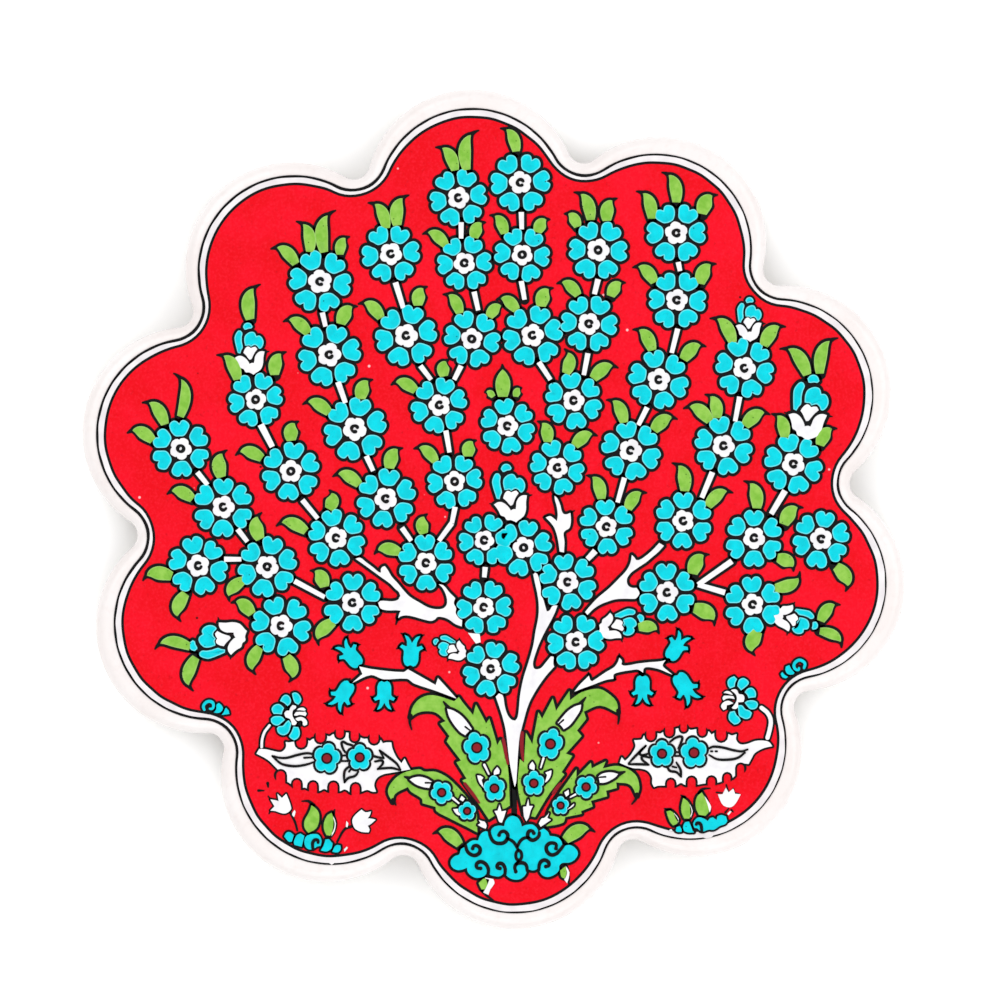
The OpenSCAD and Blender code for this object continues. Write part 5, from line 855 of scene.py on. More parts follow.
class Paint:
    """A Principled material and short ways to add noise, mixes and bump to it."""

    def __init__(self, name, roughness=0.2, specular=0.5):
        self.material = bpy.data.materials.new(name)
        self.material.use_nodes = True
        self.nodes = self.material.node_tree.nodes
        self.links = self.material.node_tree.links
        self.shader = self.nodes["Principled BSDF"]
        self.shader.inputs["Roughness"].default_value = roughness
        self.shader.inputs["Specular IOR Level"].default_value = specular
        self.place = self.nodes.new("ShaderNodeTexCoord").outputs["Object"]

    def noise(self, size_mm, detail=3, seed=0):
        node = self.nodes.new("ShaderNodeTexNoise")
        node.noise_dimensions = "4D"
        node.inputs["Scale"].default_value = 1 / (size_mm * MM)
        node.inputs["Detail"].default_value = detail
        node.inputs["Roughness"].default_value = 0.5
        node.inputs["W"].default_value = seed
        self.links.new(self.place, node.inputs["Vector"])
        return node.outputs["Fac"]

    def dots(self, spacing_mm, radius, soft=0.05, keep=1.0):
        """1 inside scattered round dots; keep is the share of cells that have one."""
        node = self.nodes.new("ShaderNodeTexVoronoi")
        node.inputs["Scale"].default_value = 1 / (spacing_mm * MM)
        self.links.new(self.place, node.inputs["Vector"])
        dot = self.ramp(node.outputs["Distance"], radius, radius + soft, 1.0, 0.0)
        split = self.nodes.new("ShaderNodeSeparateColor")
        self.links.new(node.outputs["Color"], split.inputs["Color"])
        chosen = self.ramp(split.outputs["Red"], keep, keep + 0.001, 1.0, 0.0)
        return self.math("MULTIPLY", dot, chosen)

    def ramp(self, value, start, end, low, high):
        node = self.nodes.new("ShaderNodeMapRange")
        node.inputs["From Min"].default_value = start
        node.inputs["From Max"].default_value = end
        node.inputs["To Min"].default_value = low
        node.inputs["To Max"].default_value = high
        self.links.new(value, node.inputs["Value"])
        return node.outputs["Result"]

    def math(self, operation, a, b):
        node = self.nodes.new("ShaderNodeMath")
        node.operation = operation
        for socket, value in zip(node.inputs, (a, b)):
            if isinstance(value, (int, float)):
                socket.default_value = value
            else:
                self.links.new(value, socket)
        return node.outputs["Value"]

    def edge(self):
        node = self.nodes.new("ShaderNodeAttribute")
        node.attribute_name = "edge"
        return node.outputs["Fac"]

    def mix(self, factor, a, b):
        node = self.nodes.new("ShaderNodeMix")
        node.data_type = "RGBA"
        self.links.new(factor, node.inputs["Factor"])
        for socket, value in ((node.inputs["A"], a), (node.inputs["B"], b)):
            if isinstance(value, tuple):
                socket.default_value = value
            else:
                self.links.new(value, socket)
        return node.outputs["Result"]

    def colour(self, value):
        self.links.new(value, self.shader.inputs["Base Color"])

    def roughness(self, value):
        self.links.new(value, self.shader.inputs["Roughness"])

    def bump(self, height, depth_mm):
        node = self.nodes.new("ShaderNodeBump")
        node.inputs["Strength"].default_value = 1.0
        node.inputs["Distance"].default_value = depth_mm * MM
        self.links.new(height, node.inputs["Height"])
        previous = self.shader.inputs["Normal"].links
        if previous:
            self.links.new(previous[0].from_socket, node.inputs["Normal"])
        self.links.new(node.outputs["Normal"], self.shader.inputs["Normal"])


def glassy_skin(paint, ripple_mm=0.03, pinholes=True):
    """What all the fired coats share: a faintly rippled, orange-peel surface with pinholes."""
    paint.bump(paint.noise(6.0, detail=2), ripple_mm * 2)
    paint.bump(paint.noise(0.9, detail=3, seed=3), ripple_mm * 0.6)
    if pinholes:
        holes = paint.dots(2.4, 0.05, soft=0.04, keep=0.3)
        paint.bump(paint.math("MULTIPLY", holes, -1.0), 0.03)
    paint.roughness(paint.ramp(paint.noise(3.0, seed=7), 0.3, 0.7, 0.08, 0.24))


def bisque_paint():
    paint = Paint("bisque clay", roughness=0.9, specular=0.2)
    body = paint.mix(paint.noise(1.2, detail=6), linear(226, 214, 198), linear(240, 231, 219))
    paint.colour(paint.mix(paint.dots(1.6, 0.07, keep=0.4), body, linear(176, 150, 126)))
    paint.bump(paint.noise(0.5, detail=6), 0.05)
    return paint.material


def foot_paint():
    paint = Paint("bare foot clay", roughness=0.85, specular=0.2)
    body = paint.mix(paint.noise(1.5, detail=6), linear(205, 184, 158), linear(226, 208, 184))
    worn = paint.mix(paint.ramp(paint.noise(9.0), 0.45, 0.65, 0.0, 0.5), body, linear(170, 150, 128))
    paint.colour(paint.mix(paint.dots(1.3, 0.08, keep=0.5), worn, linear(150, 118, 92)))
    paint.bump(paint.noise(0.45, detail=6), 0.06)
    return paint.material


def glaze_paint():
    paint = Paint("white glaze", specular=0.35)
    warm = paint.mix(paint.ramp(paint.noise(14.0, detail=2), 0.35, 0.65, 0.0, 1.0),
                     linear(252, 247, 246), linear(247, 239, 237))
    cloudy = paint.mix(paint.ramp(paint.noise(1.6, detail=4, seed=2), 0.5, 0.8, 0.0, 0.5),
                       warm, linear(238, 226, 223))
    specks = paint.dots(7.0, 0.03, soft=0.02, keep=0.25)
    paint.colour(paint.mix(specks, cloudy, linear(96, 90, 88)))
    glassy_skin(paint, ripple_mm=0.06)
    return paint.material


def white_paint():
    paint = Paint("white enamel", specular=0.3)
    body = paint.mix(paint.ramp(paint.noise(2.5, detail=3), 0.4, 0.7, 0.0, 1.0),
                     linear(255, 254, 255), linear(240, 238, 242))
    specks = paint.dots(3.0, 0.04, soft=0.03, keep=0.12)
    paint.colour(paint.mix(specks, body, linear(70, 70, 74)))
    glassy_skin(paint)
    return paint.material


def band_paint():
    paint = Paint("thin white enamel", specular=0.3)
    paint.colour(paint.mix(paint.ramp(paint.noise(3.0, detail=3), 0.35, 0.65, 0.0, 1.0),
                           linear(250, 246, 247), linear(236, 230, 233)))
    glassy_skin(paint)
    return paint.material


def black_paint():
    paint = Paint("black enamel", specular=0.14)
    thin = paint.ramp(paint.noise(1.1, detail=3), 0.58, 0.72, 0.0, 0.55)
    body = paint.mix(thin, linear(6, 9, 11), linear(44, 12, 16))
    paint.colour(paint.mix(paint.ramp(paint.edge(), 0.5, 1.0, 0.0, 0.4), body, linear(58, 8, 14)))
    glassy_skin(paint, pinholes=False)
    return paint.material


def red_paint():
    paint = Paint("red enamel", specular=0.1)
    wash = paint.mix(paint.ramp(paint.noise(9.0, detail=3), 0.38, 0.62, 0.0, 1.0),
                     linear(240, 2, 22), linear(250, 6, 36))
    grain = paint.mix(paint.ramp(paint.noise(0.55, detail=2, seed=5), 0.45, 0.75, 0.0, 0.6),
                      wash, linear(252, 34, 56))
    pooled = paint.mix(paint.ramp(paint.noise(0.8, detail=2, seed=9), 0.62, 0.8, 0.0, 0.7),
                       grain, linear(198, 0, 16))
    bare = paint.dots(5.5, 0.035, soft=0.03, keep=0.35)
    flecked = paint.mix(bare, pooled, linear(255, 196, 200))
    specks = paint.dots(6.5, 0.035, soft=0.02, keep=0.3)
    paint.colour(paint.mix(specks, flecked, linear(70, 8, 14)))
    glassy_skin(paint, ripple_mm=0.07)
    return paint.material


def turquoise_paint():
    paint = Paint("turquoise enamel", specular=0.12)
    pool = paint.mix(paint.ramp(paint.noise(2.2, detail=2), 0.35, 0.65, 0.0, 1.0),
                     linear(0, 206, 220), linear(0, 224, 238))
    deep = paint.mix(paint.ramp(paint.noise(0.7, detail=3, seed=4), 0.58, 0.8, 0.0, 0.7),
                     pool, linear(0, 176, 192))
    watery = paint.mix(paint.ramp(paint.edge(), 0.3, 0.9, 0.0, 0.9), deep, linear(128, 242, 250))
    specks = paint.dots(1.6, 0.07, soft=0.05, keep=0.07)
    paint.colour(paint.mix(specks, watery, linear(0, 92, 104)))
    glassy_skin(paint)
    return paint.material


def green_paint():
    paint = Paint("green enamel", specular=0.16)
    body = paint.mix(paint.ramp(paint.noise(1.4, detail=3), 0.35, 0.65, 0.0, 1.0),
                     linear(128, 190, 62), linear(154, 208, 86))
    pale = paint.mix(paint.ramp(paint.edge(), 0.4, 1.0, 0.0, 0.5), body, linear(188, 230, 140))
    specks = paint.dots(0.8, 0.14, soft=0.08, keep=0.12)
    paint.colour(paint.mix(specks, pale, linear(84, 128, 44)))
    glassy_skin(paint)
    return paint.material


def maroon_paint():
    paint = Paint("maroon enamel", specular=0.16)
    paint.colour(paint.mix(paint.noise(0.6, detail=3), linear(120, 14, 24), linear(160, 28, 40)))
    glassy_skin(paint, pinholes=False)
    return paint.material


WHITE, BLACK, RED = white_paint(), black_paint(), red_paint()
TURQUOISE, GREEN, MAROON = turquoise_paint(), green_paint(), maroon_paint()
GLAZE, BISQUE, FOOT, BAND = glaze_paint(), bisque_paint(), foot_paint(), band_paint()
ENAMEL = {
    "white": (WHITE, "white_enamel"), "black": (BLACK, "black_enamel"), "red": (RED, "red_enamel"),
    "turquoise": (TURQUOISE, "turquoise_enamel"), "green": (GREEN, "green_enamel"),
    "maroon": (MAROON, "maroon_enamel"), "band": (BAND, "white_enamel"),
}


def enamel(relief, colour, name, *nodes):
    material, slot = ENAMEL[colour]
    return relief.build(name, material, slot, *nodes)


# ---------------------------------------------------------------- clay, glaze and border

def edge_section(skin):
    """Section of the edge from the underside to the face: inset in mm and height in metres."""
    slab_low, slab_high = coat_of("bisque_body")
    section = [
        (EASE_IN - skin / 2, slab_low),
        (EASE_MID_IN + (GLAZE_T - skin) / 2, slab_low + EASE_MID_H * MM),
        (GLAZE_T - skin, slab_low + EASE_H * MM),
    ]
    for i in range(EDGE_STEPS + 1):
        a = math.radians(90 * i / EDGE_STEPS)
        section.append((GLAZE_T - skin + EDGE_W * (1 - math.cos(a)),
                        slab_high + (skin - EDGE_H * (1 - math.sin(a))) * MM))
    return section


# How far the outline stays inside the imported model's box, in millimetres
HAIR = 0.01


def kept_inside(points):
    """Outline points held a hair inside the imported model's box."""
    low, high = CAD_BOX
    x0, y0 = (low[i] / MM + MID[i] + HAIR for i in (0, 1))
    x1, y1 = (high[i] / MM + MID[i] - HAIR for i in (0, 1))
    return [(min(max(x, x0), x1), min(max(y, y0), y1)) for x, y in points]


def lobed_shell(name, section, material, slot, node):
    relief = Relief(0, 0)
    rings = [relief.ring(kept_inside(slab_outline(inset)), z, 0.0) for inset, z in section]
    n = rings[1] - rings[0]
    relief.face(tuple(rings[0] + i for i in reversed(range(n))), False)
    for lower, upper in zip(rings, rings[1:]):
        relief.wall(lower, upper, n)
    relief.face(tuple(rings[-1] + i for i in range(n)), False)
    return relief.build(name, material, slot, node)


def clay_and_glaze():
    clay, skin = edge_section(0), edge_section(GLAZE_T)
    lobed_shell("clay_slab", clay, BISQUE, "bisque", "bisque_body")
    lobed_shell("glaze_skin", clay[:0:-1] + skin[1:], GLAZE, "white_glaze", "glaze_coat")
    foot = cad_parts["foot_ring"]
    for slot in foot.material_slots:
        slot.material = FOOT


# Distances from the middle at which the border's lobes end and its hollows are deepest
LOBES_FROM, HOLLOWS_AT = 83, 75
# Where the outer line was rubbed: how long the gap is, and how much of the line is left
GAP_R, RUBBED_W = 0.7, 0.12
# How the hand let the lines swell and shrink
THICK_SIDE = 150
THIN_SHARE, SWELL_SHARE = 0.78, 0.35
HOLLOW_PINCH = 0.4
# How far inside the border's outline the outer line starts
RIM_INSET = 0.1


def in_hollow(x, y):
    """1 in the hollows of the border, 0 on its lobes."""
    reach = math.hypot(x - MID[0], y - MID[1])
    return min(max((LOBES_FROM - reach) / (LOBES_FROM - HOLLOWS_AT), 0), 1)


def outer_line_width(x, y):
    """The outer line: thicker in the hollows and on the upper left, broken where it was rubbed."""
    if any(math.dist((x, y), gap) < GAP_R for gap in OUTER_LINE_GAPS):
        return RUBBED_W
    angle = math.atan2(y - MID[1], x - MID[0])
    upper_left = 0.5 + 0.5 * math.cos(angle - math.radians(THICK_SIDE))
    swell = THIN_SHARE + SWELL_SHARE * in_hollow(x, y) + SWELL_SHARE * upper_left
    ripple = 0.06 * math.sin(0.9 * x) * math.sin(1.1 * y)
    return OUTER_LINE_W * swell + ripple


def border_width(x, y):
    """The whole border: narrower in the hollows, with a slight waver."""
    return BORDER_W - HOLLOW_PINCH * in_hollow(x, y) + 0.04 * math.sin(0.8 * x - 0.6 * y)


def border_ring(depth):
    """The border's outline moved inwards by depth(x, y) millimetres."""
    rim, well = border_outline(0), border_outline(BORDER_W)
    ring = []
    for (x, y), (u, v) in zip(rim, well):
        share = depth(x, y) / BORDER_W
        ring.append((x + (u - x) * share, y + (v - y) * share))
    return ring


def ring_pad(relief, rim, well):
    """A closed band between two outlines with the same number of points."""
    n = len(rim)
    low_rim, low_well = relief.ring(rim, relief.low, 1.0), relief.ring(well, relief.low, 1.0)
    top_rim, top_well = relief.ring(rim, relief.high, 0.3), relief.ring(well, relief.high, 0.3)
    relief.wall(low_rim, top_rim, n)
    relief.wall(top_well, low_well, n)
    for i in range(n):
        k = (i + 1) % n
        relief.face((top_rim + i, top_rim + k, top_well + k, top_well + i), False)
        relief.face((low_rim + k, low_rim + i, low_well + i, low_well + k), False)


def border():
    rim = border_ring(lambda x, y: RIM_INSET)
    band_start = border_ring(outer_line_width)
    band_end = border_ring(lambda x, y: border_width(x, y) - INNER_LINE_W)
    well = border_ring(border_width)
    for name, node, start, end, colour in (
        ("outer_line", "outer_border_line", rim, band_start, "black"),
        ("white_band", "white_border_band", band_start, band_end, "band"),
        ("inner_line", "inner_border_line", band_end, well, "black"),
    ):
        relief = Relief(*coat_of(node))
        ring_pad(relief, start, end)
        enamel(relief, colour, name, node)


def ground():
    relief = Relief(*coat_of("red_ground"), flare=0.0)
    relief.pad([border_ring(border_width)])
    enamel(relief, "red", "red_field", "red_ground")


# ---------------------------------------------------------------- blossoms and their stems

PETALS = 6
PETAL_STEP = 360 / PETALS


def mirrored(half):
    """A whole outline from the half on one side of the u axis, ends included."""
    return half + [(u, -v) for u, v in reversed(half[1:-1])]


BELL = flow(mirrored(BELL_HALF), steps=3)


def wobbled(points, draw, amount):
    return [(x + draw.uniform(-amount, amount), y + draw.uniform(-amount, amount)) for x, y in points]


HEART_LOBES = 5


def five_lobes(r_out, r_in, steps=40):
    points = []
    for i in range(steps):
        a = 360 * i / steps
        wave = abs(math.cos(math.radians(HEART_LOBES / 2 * a))) ** 0.7
        points.append(turned((r_in + (r_out - r_in) * wave, 0), a))
    return points


# How wide a petal is, as a share of its drawn half outline
PETAL_SLIM = 0.94
# Sizes of a blossom that reaches PETAL_REACH
BLOSSOM_CORE_R = 3.4
HEART_OUT, HEART_IN = 2.47, 1.95
CLEFT_FROM, CLEFT_TO, CLEFT_W = 5.3, 6.1, 0.9
RING_R, RING_W = 0.66, 0.62
RING_STEPS = 22
# One blossom in seven or so has a closed ring, and the others leave one open on this many degrees
CLOSED_RINGS = 0.15
OPEN_SWEEP = (255, 300)
# How much the hand strayed: degrees of turn, shares of size, and millimetres along the outlines
PETAL_TURN, PETAL_SIZES, RING_TURN = 2, (0.97, 1.02), 25
PETAL_STRAY, HEART_STRAY = 0.07, 0.05
PETAL = mirrored([(u, PETAL_SLIM * v) for u, v in PETAL_HALF])


def blossoms():
    ink = Relief(*coat_of("blossom_outlines"))
    turquoise = Relief(*coat_of("blossom_petals"))
    hearts = Relief(*coat_of("blossom_hearts"))
    rings = Relief(*coat_of("blossom_rings"))
    draw = random.Random(3)
    for x, y, turn, reach in BLOSSOMS:
        at, size = (x, y), reach / PETAL_REACH
        shapes = [disc(x, y, BLOSSOM_CORE_R * size)]
        for k in range(PETALS):
            angle = turn + k * PETAL_STEP + draw.uniform(-PETAL_TURN, PETAL_TURN)
            own = size * draw.uniform(*PETAL_SIZES)
            petal = flow(wobbled(PETAL, draw, PETAL_STRAY), corner=60, steps=3)
            shape = counter_clockwise(placed(petal, at, angle, own))
            cleft = placed([(CLEFT_FROM, 0), (CLEFT_TO, 0)], at, angle, own)
            shapes += [shrunk(shape, -INK_W), stroke(*cleft, CLEFT_W, CLEFT_W)]
            turquoise.dome(lambda inset: shrunk(shape, inset + 0.03))
        ink.pad(shapes)
        lean = turn + draw.uniform(0, 360 / HEART_LOBES)
        heart = placed(five_lobes(HEART_OUT * size, HEART_IN * size), at, lean)
        heart = wobbled(heart, draw, HEART_STRAY)
        hearts.dome(lambda inset: shrunk(heart, inset), crown=0.01)
        gap = draw.uniform(-RING_TURN, RING_TURN)
        sweep = 360 if draw.random() < CLOSED_RINGS else draw.uniform(*OPEN_SWEEP)
        open_by = (360 - sweep) / 2
        spots = arc(at, RING_R, gap + open_by, gap + 360 - open_by, RING_STEPS)
        rings.pad(line(spots, [RING_W + 0.1 * math.sin(0.6 * i + x) for i in range(len(spots))]))
    enamel(ink, "black", "blossom_ink", "blossom_outlines")
    enamel(turquoise, "turquoise", "petals", "blossom_petals")
    enamel(hearts, "white", "hearts", "blossom_hearts")
    enamel(rings, "black", "heart_rings", "blossom_rings")


# Widths at the far end of a stem, as shares of those at its start
STEM_INK_TAPER, STEM_CORE_TAPER = 0.85, 0.84


def stems():
    ink = Relief(*coat_of("stem_outlines"))
    core = Relief(*coat_of("stems"))
    ends = [((x0, y0), (x1, y1), width) for x0, y0, x1, y1, width in STEMS]
    ink.pad([stroke(a, b, w + 2 * INK_W, STEM_INK_TAPER * w + 2 * INK_W) for a, b, w in ends])
    core.pad([along([a, b], [w / 2, STEM_CORE_TAPER / 2 * w]) for a, b, w in ends])
    enamel(ink, "black", "stem_ink", "stem_outlines")
    enamel(core, "white", "stem_cores", "stems")


# ---------------------------------------------------------------- leaves

# How much of a leaf's length is green, the rest being its black flick
BODY_SHARE = 0.78
LEAF_STEPS = 16
# How far the middle line arches to the side, and where along it, as shares of the leaf's length
LEAF_BOW, LEAF_ARCH_AT = 0.42, 0.72
# Half the green's width and the blunt base's radius, as shares of the leaf's width
LEAF_HALF_SHARE, LEAF_BASE_SHARE = 0.44, 0.24
# Half the flick's width where it leaves the green, and how much of it is gone at the tip
FLICK_HALF_W, FLICK_LOSS = 0.52, 0.4
# Widths of the short flicks at their start and end
BELL_FLICK_W, BUD_FLICK_W, CORNER_FLICK_W = (0.9, 0.15), (0.8, 0.15), (0.9, 0.2)


def curve_point(a, c, b, t):
    return ((1 - t) ** 2 * a[0] + 2 * t * (1 - t) * c[0] + t * t * b[0],
            (1 - t) ** 2 * a[1] + 2 * t * (1 - t) * c[1] + t * t * b[1])


def leaf_axis(leaf):
    """The leaf's middle line: out of the base, then arching over to the tip of its flick."""
    x0, y0, x1, y1 = leaf[:4]
    length = math.dist((x0, y0), (x1, y1))
    side = -1 if x1 > x0 else 1
    bow = leaf[5] if len(leaf) > 5 else LEAF_BOW
    cx, cy = turned((LEAF_ARCH_AT * length, -side * bow * length), heading((x0, y0), (x1, y1)))
    control = (x0 + cx, y0 + cy)
    return [curve_point((x0, y0), control, (x1, y1), i / LEAF_STEPS) for i in range(LEAF_STEPS + 1)]


def leaf_half(t, width):
    """Half the width of the green part, from its blunt base at t = 0 to its point at t = 1."""
    if t >= 1:
        return 0.0
    return LEAF_HALF_SHARE * width * math.sin(math.pi * (0.2 + 0.8 * t)) ** 0.9


def along(axis, halves):
    left, right = [], []
    for i, (p, h) in enumerate(zip(axis, halves)):
        a, b = axis[max(i - 1, 0)], axis[min(i + 1, len(axis) - 1)]
        d = math.dist(a, b)
        nx, ny = -(b[1] - a[1]) / d, (b[0] - a[0]) / d
        left.append((p[0] + nx * h, p[1] + ny * h))
        right.append((p[0] - nx * h, p[1] - ny * h))
    return right + left[::-1]


def leaf_body(axis, width, inset):
    count = round(LEAF_STEPS * BODY_SHARE)
    halves = [max(leaf_half(i / count, width) - inset, 0.02) for i in range(count + 1)]
    return along(axis[:count + 1], halves)


def leaf_ink(axis, width):
    halves = []
    for i in range(LEAF_STEPS + 1):
        t = i / LEAF_STEPS
        tail = FLICK_HALF_W - FLICK_LOSS * max(t - BODY_SHARE, 0) / (1 - BODY_SHARE)
        body = leaf_half(t / BODY_SHARE, width) + INK_W if t < BODY_SHARE else 0
        halves.append(max(body, tail))
    return [along(axis, halves), disc(*axis[0], LEAF_BASE_SHARE * width + INK_W)]


def leaves():
    ink = Relief(*coat_of("leaf_outlines"))
    green = Relief(*coat_of("leaves"))
    for leaf in LEAVES:
        axis, width = leaf_axis(leaf), leaf[4]
        ink.pad(leaf_ink(axis, width))
        green.dome(lambda inset: leaf_body(axis, width, inset), crown=0.02)
    for points, flick in CORNER_LEAVES:
        outlined(ink, green, flow(points), FINE_INK_W)
        ink.pad(brush(flick, *CORNER_FLICK_W))
    enamel(ink, "black", "leaf_ink", "leaf_outlines")
    enamel(green, "green", "leaf_fill", "leaves")


# ---------------------------------------------------------------- drawn shapes with corners

def outlined(ink, fill, shape, ink_w=INK_W):
    ink.pad(grown(shape, ink_w))
    fill.pad([shape])


def branches():
    ink, core = Relief(*coat_of("branch_outlines")), Relief(*coat_of("branches"))
    for points in BRANCHES:
        outlined(ink, core, flow(points))
    for start, middle_point, end, width in TRUNK_FOOT:
        ink.pad(brush([start, middle_point, end], width))
    for points, start, end in LOOSE_INK:
        ink.pad(brush(points, start, end))
    enamel(ink, "black", "branch_ink", "branch_outlines")
    enamel(core, "white", "branch_cores", "branches")


def bells():
    ink, fill = Relief(*coat_of("bell_outlines")), Relief(*coat_of("bell_flowers"))
    for x, y, turn, size in BELLS:
        outlined(ink, fill, placed(BELL, (x, y), turn, size), FINE_INK_W)
        for side in (-1, 1):
            for flick in BELL_FLICKS:
                ends = placed([(u, v * side) for u, v in flick], (x, y), turn, size)
                ink.pad(brush(ends, *BELL_FLICK_W))
    enamel(ink, "black", "bell_ink", "bell_outlines")
    enamel(fill, "turquoise", "bell_fill", "bell_flowers")


def buds():
    ink = Relief(*coat_of("bud_outlines"))
    white, turquoise = Relief(*coat_of("bud_calyxes")), Relief(*coat_of("bud_petals"))
    own_heading, own_length = heading((0, 0), BUD_TIP), math.hypot(*BUD_TIP)
    for x0, y0, x1, y1, side in BUDS:
        size = math.dist((x0, y0), (x1, y1)) / own_length
        turn = heading((x0, y0), (x1, y1)) - (own_heading if side > 0 else 180 - own_heading)

        def put(points):
            return placed([(x * side, y) for x, y in points], (x0, y0), turn, size)

        shapes = []
        for points in (BUD_CALYX, BUD_HEART):
            shape = counter_clockwise(put(flow(points, steps=3)))
            shapes += grown(shape, INK_W * size)
            white.pad([shape])
        for points in BUD_CAP:
            shape = counter_clockwise(put(flow(points, steps=3)))
            shapes += grown(shape, INK_W * size)
            turquoise.dome(lambda inset: shrunk(shape, inset), settle=0.3)
        for flick in BUD_FLICKS:
            shapes += brush(put(flick), *BUD_FLICK_W)
        ink.pad(shapes)
    enamel(ink, "black", "bud_ink", "bud_outlines")
    enamel(white, "white", "calyxes", "bud_calyxes")
    enamel(turquoise, "turquoise", "bud_fill", "bud_petals")


def tulips():
    ink, fill = Relief(*coat_of("tulip_outlines")), Relief(*coat_of("tulips"))
    for points in CORNER_TULIPS[:2]:
        ink.pad(grown(flow(points, steps=2), HAIRLINE_INK_W))
    for points in CORNER_TULIPS + BARE_SLIVERS + CLOUD_TULIPS:
        fill.pad([flow(points, steps=2)])
    for x, y, r in TULIP_DOTS:
        ink.pad([disc(x, y, r)])
    enamel(ink, "black", "tulip_ink", "tulip_outlines")
    enamel(fill, "white", "tulip_fill", "tulips")


# ---------------------------------------------------------------- saz leaves

# How far the bites in the white leaves' edges run on outwards
BITE_DEPTH = 3


def saz_leaves():
    ink = Relief(*coat_of("saz_outlines"))
    green, white = Relief(*coat_of("green_saz_leaves")), Relief(*coat_of("white_saz_leaves"))
    openings, rims = [], []
    for x, y, r, up in WHITE_SAZ_BITES:
        end = (x, y + BITE_DEPTH * up)
        rim_w = 2 * (r + FINEST_INK_W)
        openings.append(stroke((x, y), end, 2 * r, 2 * r))
        rims.append(stroke((x, y), end, rim_w, rim_w))
    for points in GREEN_SAZ:
        outlined(ink, green, flow(points))
    for points in WHITE_SAZ:
        shape = flow(points, steps=3)
        rounds = [disc(x, y, r + FINEST_INK_W) for x, y, r, up in WHITE_SAZ_BITES]
        ink.pad(grown(shape, FINEST_INK_W) + near(shape, rounds), near(shape, openings))
        white.pad([shape], near(shape, rims))
    enamel(green, "green", "green_saz_fill", "green_saz_leaves")
    enamel(white, "white", "white_saz_fill", "white_saz_leaves")
    enamel(ink, "black", "saz_ink", "saz_outlines")


def near(shape, others):
    """Those of the other outlines that lie on the same side of the plate as the shape."""
    left = middle(shape)[0] < 0
    return [other for other in others if (middle(other)[0] < 0) == left]


def saz_petals(rx, ry, inset, steps=40):
    points = []
    for x, y in five_lobes(1.0, 0.76, steps):
        r = math.hypot(x, y)
        points.append((x * (ry - inset / r), y * (rx - inset / r)))
    return points


# Radius of a maroon heart, as a share of its flower's
SAZ_HEART_SHARE = 0.27
# How far the small details stand above the coat that they lie on, and the strips below it
RING_RISE, WHITE_RISE, TICK_RISE, STRIP_DROP = 0.08 * MM, 0.05 * MM, 0.09 * MM, 0.02 * MM


def saz_flowers():
    ink = Relief(*coat_of("saz_flower_outlines"))
    fill = Relief(*coat_of("saz_flowers"))
    hearts = Relief(*coat_of("saz_flower_hearts"))
    ink_low, ink_high = coat_of("saz_flower_outlines")
    fill_low, fill_high = coat_of("saz_flowers")
    rings = Relief(fill_low, fill_high + RING_RISE)
    white = Relief(ink_low, ink_high + WHITE_RISE)
    ticks, strips = Relief(ink_low, ink_high + TICK_RISE), Relief(ink_low, ink_high - STRIP_DROP)
    for points, tip in SAZ_BUDS:
        shape = counter_clockwise(flow(points, steps=3))
        ink.pad(grown(shape, FINE_INK_W) + brush([middle(points), tip], 2.3, 0.3))
        white.pad([shape])
    for points in SAZ_WHITES:
        shape = flow(points, steps=2)
        ink.pad(grown(shape, SPECK_INK_W))
        white.pad([shape])
    for a, b, width in SAZ_STROKES:
        ink.pad([stroke(a, b, width + 0.7, width + 0.7)])
        white.pad([stroke(a, b, width, width * 0.6)])
    for points in WHITE_SAZ_LINES + BUD_TICKS:
        ticks.pad(brush(points, 0.4, 0.34, 0.14))
    for start, middle_point, end, width in MAROON_STRIPS:
        strips.pad(brush([start, middle_point, end], width, 0.4, 0.2))
    for points in SAZ_TAILS:
        ink.pad(brush(points, 0.8, 0.25))
    for x, y, rx, ry, lean in SAZ_FLOWERS:
        def put(inset):
            return placed(saz_petals(rx, ry, inset), (x, y), lean + 90)

        ink.pad([put(-FINE_INK_W)])
        fill.dome(put, crown=0.02)
        r = SAZ_HEART_SHARE * (rx + ry) / 2
        rings.pad([disc(x, y, r + 0.4)], [disc(x, y, r - 0.05)])
        hearts.pad([disc(x, y, r)])
    enamel(ink, "black", "saz_flower_ink", "saz_flower_outlines")
    enamel(ticks, "black", "saz_ticks", "saz_flower_outlines")
    enamel(strips, "maroon", "saz_strips", "saz_flower_outlines")
    enamel(white, "white", "saz_flower_whites", "saz_flower_outlines")
    enamel(fill, "turquoise", "saz_flower_fill", "saz_flowers")
    enamel(rings, "black", "saz_heart_rings", "saz_flowers")
    enamel(hearts, "maroon", "saz_hearts", "saz_flower_hearts")


# ---------------------------------------------------------------- carnations and clouds

def carnations():
    ink = Relief(*coat_of("carnation_outlines"))
    petals, frills = Relief(*coat_of("carnation_petals")), Relief(*coat_of("carnation_frills"))
    for points in CARNATION_LEAVES:
        shape = counter_clockwise(flow(points, steps=3))
        ink.pad(grown(shape, FINEST_INK_W))
        petals.dome(lambda inset: shrunk(shape, inset), settle=0.3)
    for points in CARNATION_FRILL:
        shape = flow(points, steps=3)
        ink.pad(grown(shape, HAIRLINE_INK_W))
        frills.pad([shape])
    for x, y, r in CARNATION_KNOTS:
        ink.pad([disc(x, y, r)])
    for points, start, end in CARNATION_STALKS:
        ink.pad(brush(points, start + 0.9, end + 0.9))
        frills.pad(brush(points, start, end))
    enamel(ink, "black", "carnation_ink", "carnation_outlines")
    enamel(petals, "turquoise", "carnation_fill", "carnation_petals")
    enamel(frills, "white", "carnation_frill", "carnation_frills")


# Half width and half height of the knot in the cloud, and of the eye in it
KNOT_R, KNOT_EYE_R = (0.95, 1.4), (0.34, 0.7)


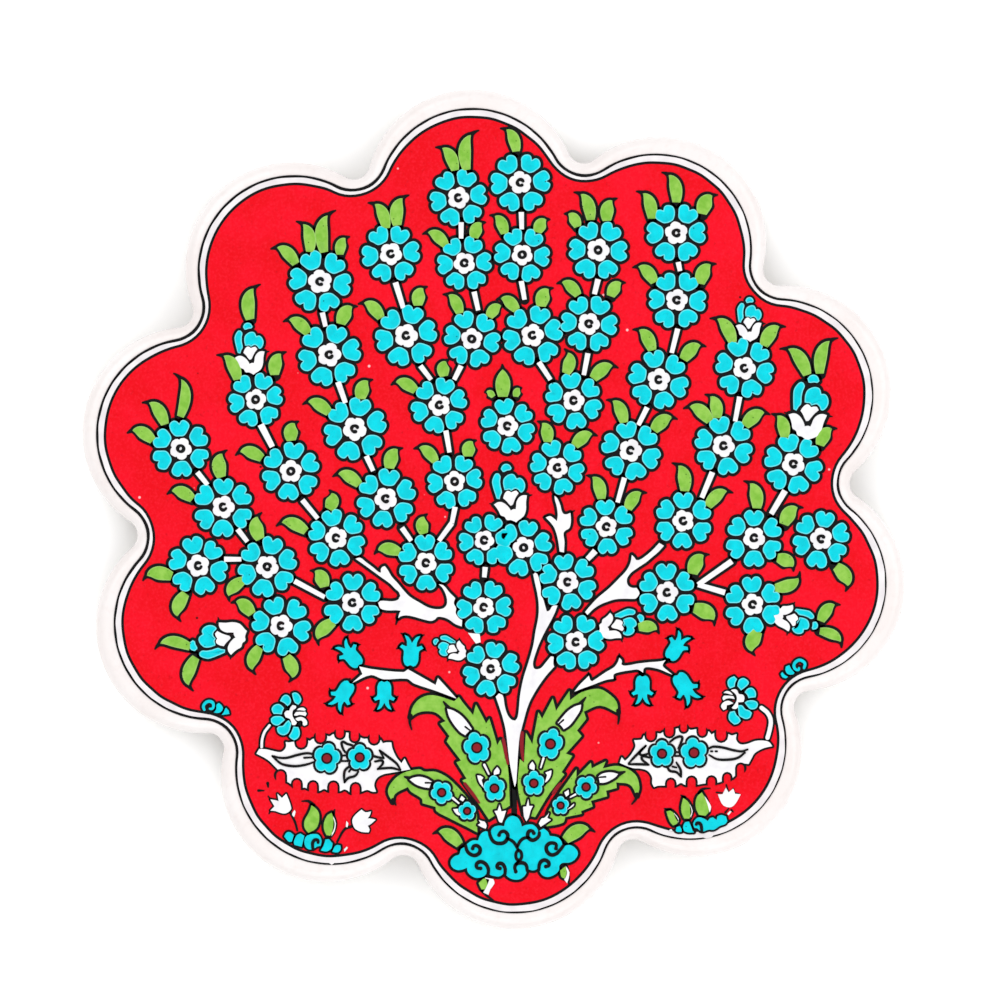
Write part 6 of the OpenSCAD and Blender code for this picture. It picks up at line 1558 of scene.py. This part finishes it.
def clouds():
    ink, fill = Relief(*coat_of("cloud_outlines")), Relief(*coat_of("clouds"))
    lines = Relief(*coat_of("cloud_spirals"))
    outlined(ink, fill, flow(CLOUD), 0.6)
    for points in MOUNDS:
        outlined(ink, fill, flow(points), FINEST_INK_W)
    for points, (x, y, r) in SCROLL_CURLS:
        ink.pad(brush(points, 1.5) + [disc(x, y, r)])
        fill.pad(brush(points, 0.5, 0.4, 0.15))
    for points in CLOUD_CURLS:
        lines.pad(brush(points, 0.62, 0.6, 0.16) + [disc(*points[-1], 0.38)])
    for points in CLOUD_STRANDS + MOUND_CURLS:
        lines.pad(brush(points, 0.56, 0.56, 0.1))
    x, y = CLOUD_KNOT
    knot, eye = ([(x + rx * u, y + ry * v) for u, v in disc(0, 0, 1)] for rx, ry in (KNOT_R, KNOT_EYE_R))
    lines.pad([knot], [eye])
    enamel(ink, "black", "cloud_ink", "cloud_outlines")
    enamel(fill, "turquoise", "cloud_fill", "clouds")
    enamel(lines, "black", "cloud_lines", "cloud_spirals")


# ---------------------------------------------------------------- floor, light and camera

# Millimetres that the camera takes in from side to side, and the point that it looks down on
VIEW_WIDTH = 216.0
VIEW_MIDDLE = (1.4, 2.0)
# Metres from the face up to the camera, and the camera's sensor in millimetres
CAMERA_HEIGHT = 1.5
SENSOR = 36.0
# Floor's side in metres and the sky's strength
FLOOR_SIZE = 4.0
SKY = 0.7


def studio():
    scene = bpy.context.scene
    scene.view_settings.view_transform = "Standard"

    bpy.ops.mesh.primitive_plane_add(size=FLOOR_SIZE, location=(0, 0, CAD_BOX[0][2]))
    floor = bpy.context.object
    floor.name = "floor"
    paper = Paint("white paper", roughness=1.0, specular=0.0)
    paper.colour(paper.mix(paper.noise(40.0), (0.97, 0.97, 0.97, 1.0), (0.94, 0.94, 0.94, 1.0)))
    floor.data.materials.append(paper.material)

    world = bpy.data.worlds.new("studio")
    world.use_nodes = True
    world.node_tree.nodes["Background"].inputs["Color"].default_value = (1, 1, 1, 1)
    world.node_tree.nodes["Background"].inputs["Strength"].default_value = SKY * LIGHT_GAIN
    scene.world = world

    for name, place, size, power in (
        ("key", (-0.7, 0.8, 1.1), 1.4, 5.6),
        ("fill_right", (1.0, 0.2, 0.9), 1.2, 3.6),
        ("fill_front", (0.1, -1.0, 0.9), 1.2, 3.6),
    ):
        data = bpy.data.lights.new(name, "AREA")
        data.shape = "DISK"
        data.size = size
        data.energy = power * LIGHT_GAIN
        light = bpy.data.objects.new(name, data)
        light.location = place
        light.rotation_euler = Vector(place).to_track_quat("Z", "Y").to_euler()
        scene.collection.objects.link(light)

    data = bpy.data.cameras.new("camera")
    data.sensor_width = SENSOR
    top = CAD_BOX[1][2]
    data.lens = SENSOR * CAMERA_HEIGHT / (VIEW_WIDTH * MM)
    data.clip_end = 10
    camera = bpy.data.objects.new("camera", data)
    x, y = ((VIEW_MIDDLE[i] - MID[i]) * MM for i in (0, 1))
    camera.location = (x, y, top + CAMERA_HEIGHT)
    scene.collection.objects.link(camera)
    scene.camera = camera


clay_and_glaze()
border()
ground()
stems()
branches()
leaves()
blossoms()
buds()
bells()
saz_leaves()
saz_flowers()
carnations()
clouds()
tulips()
studio()
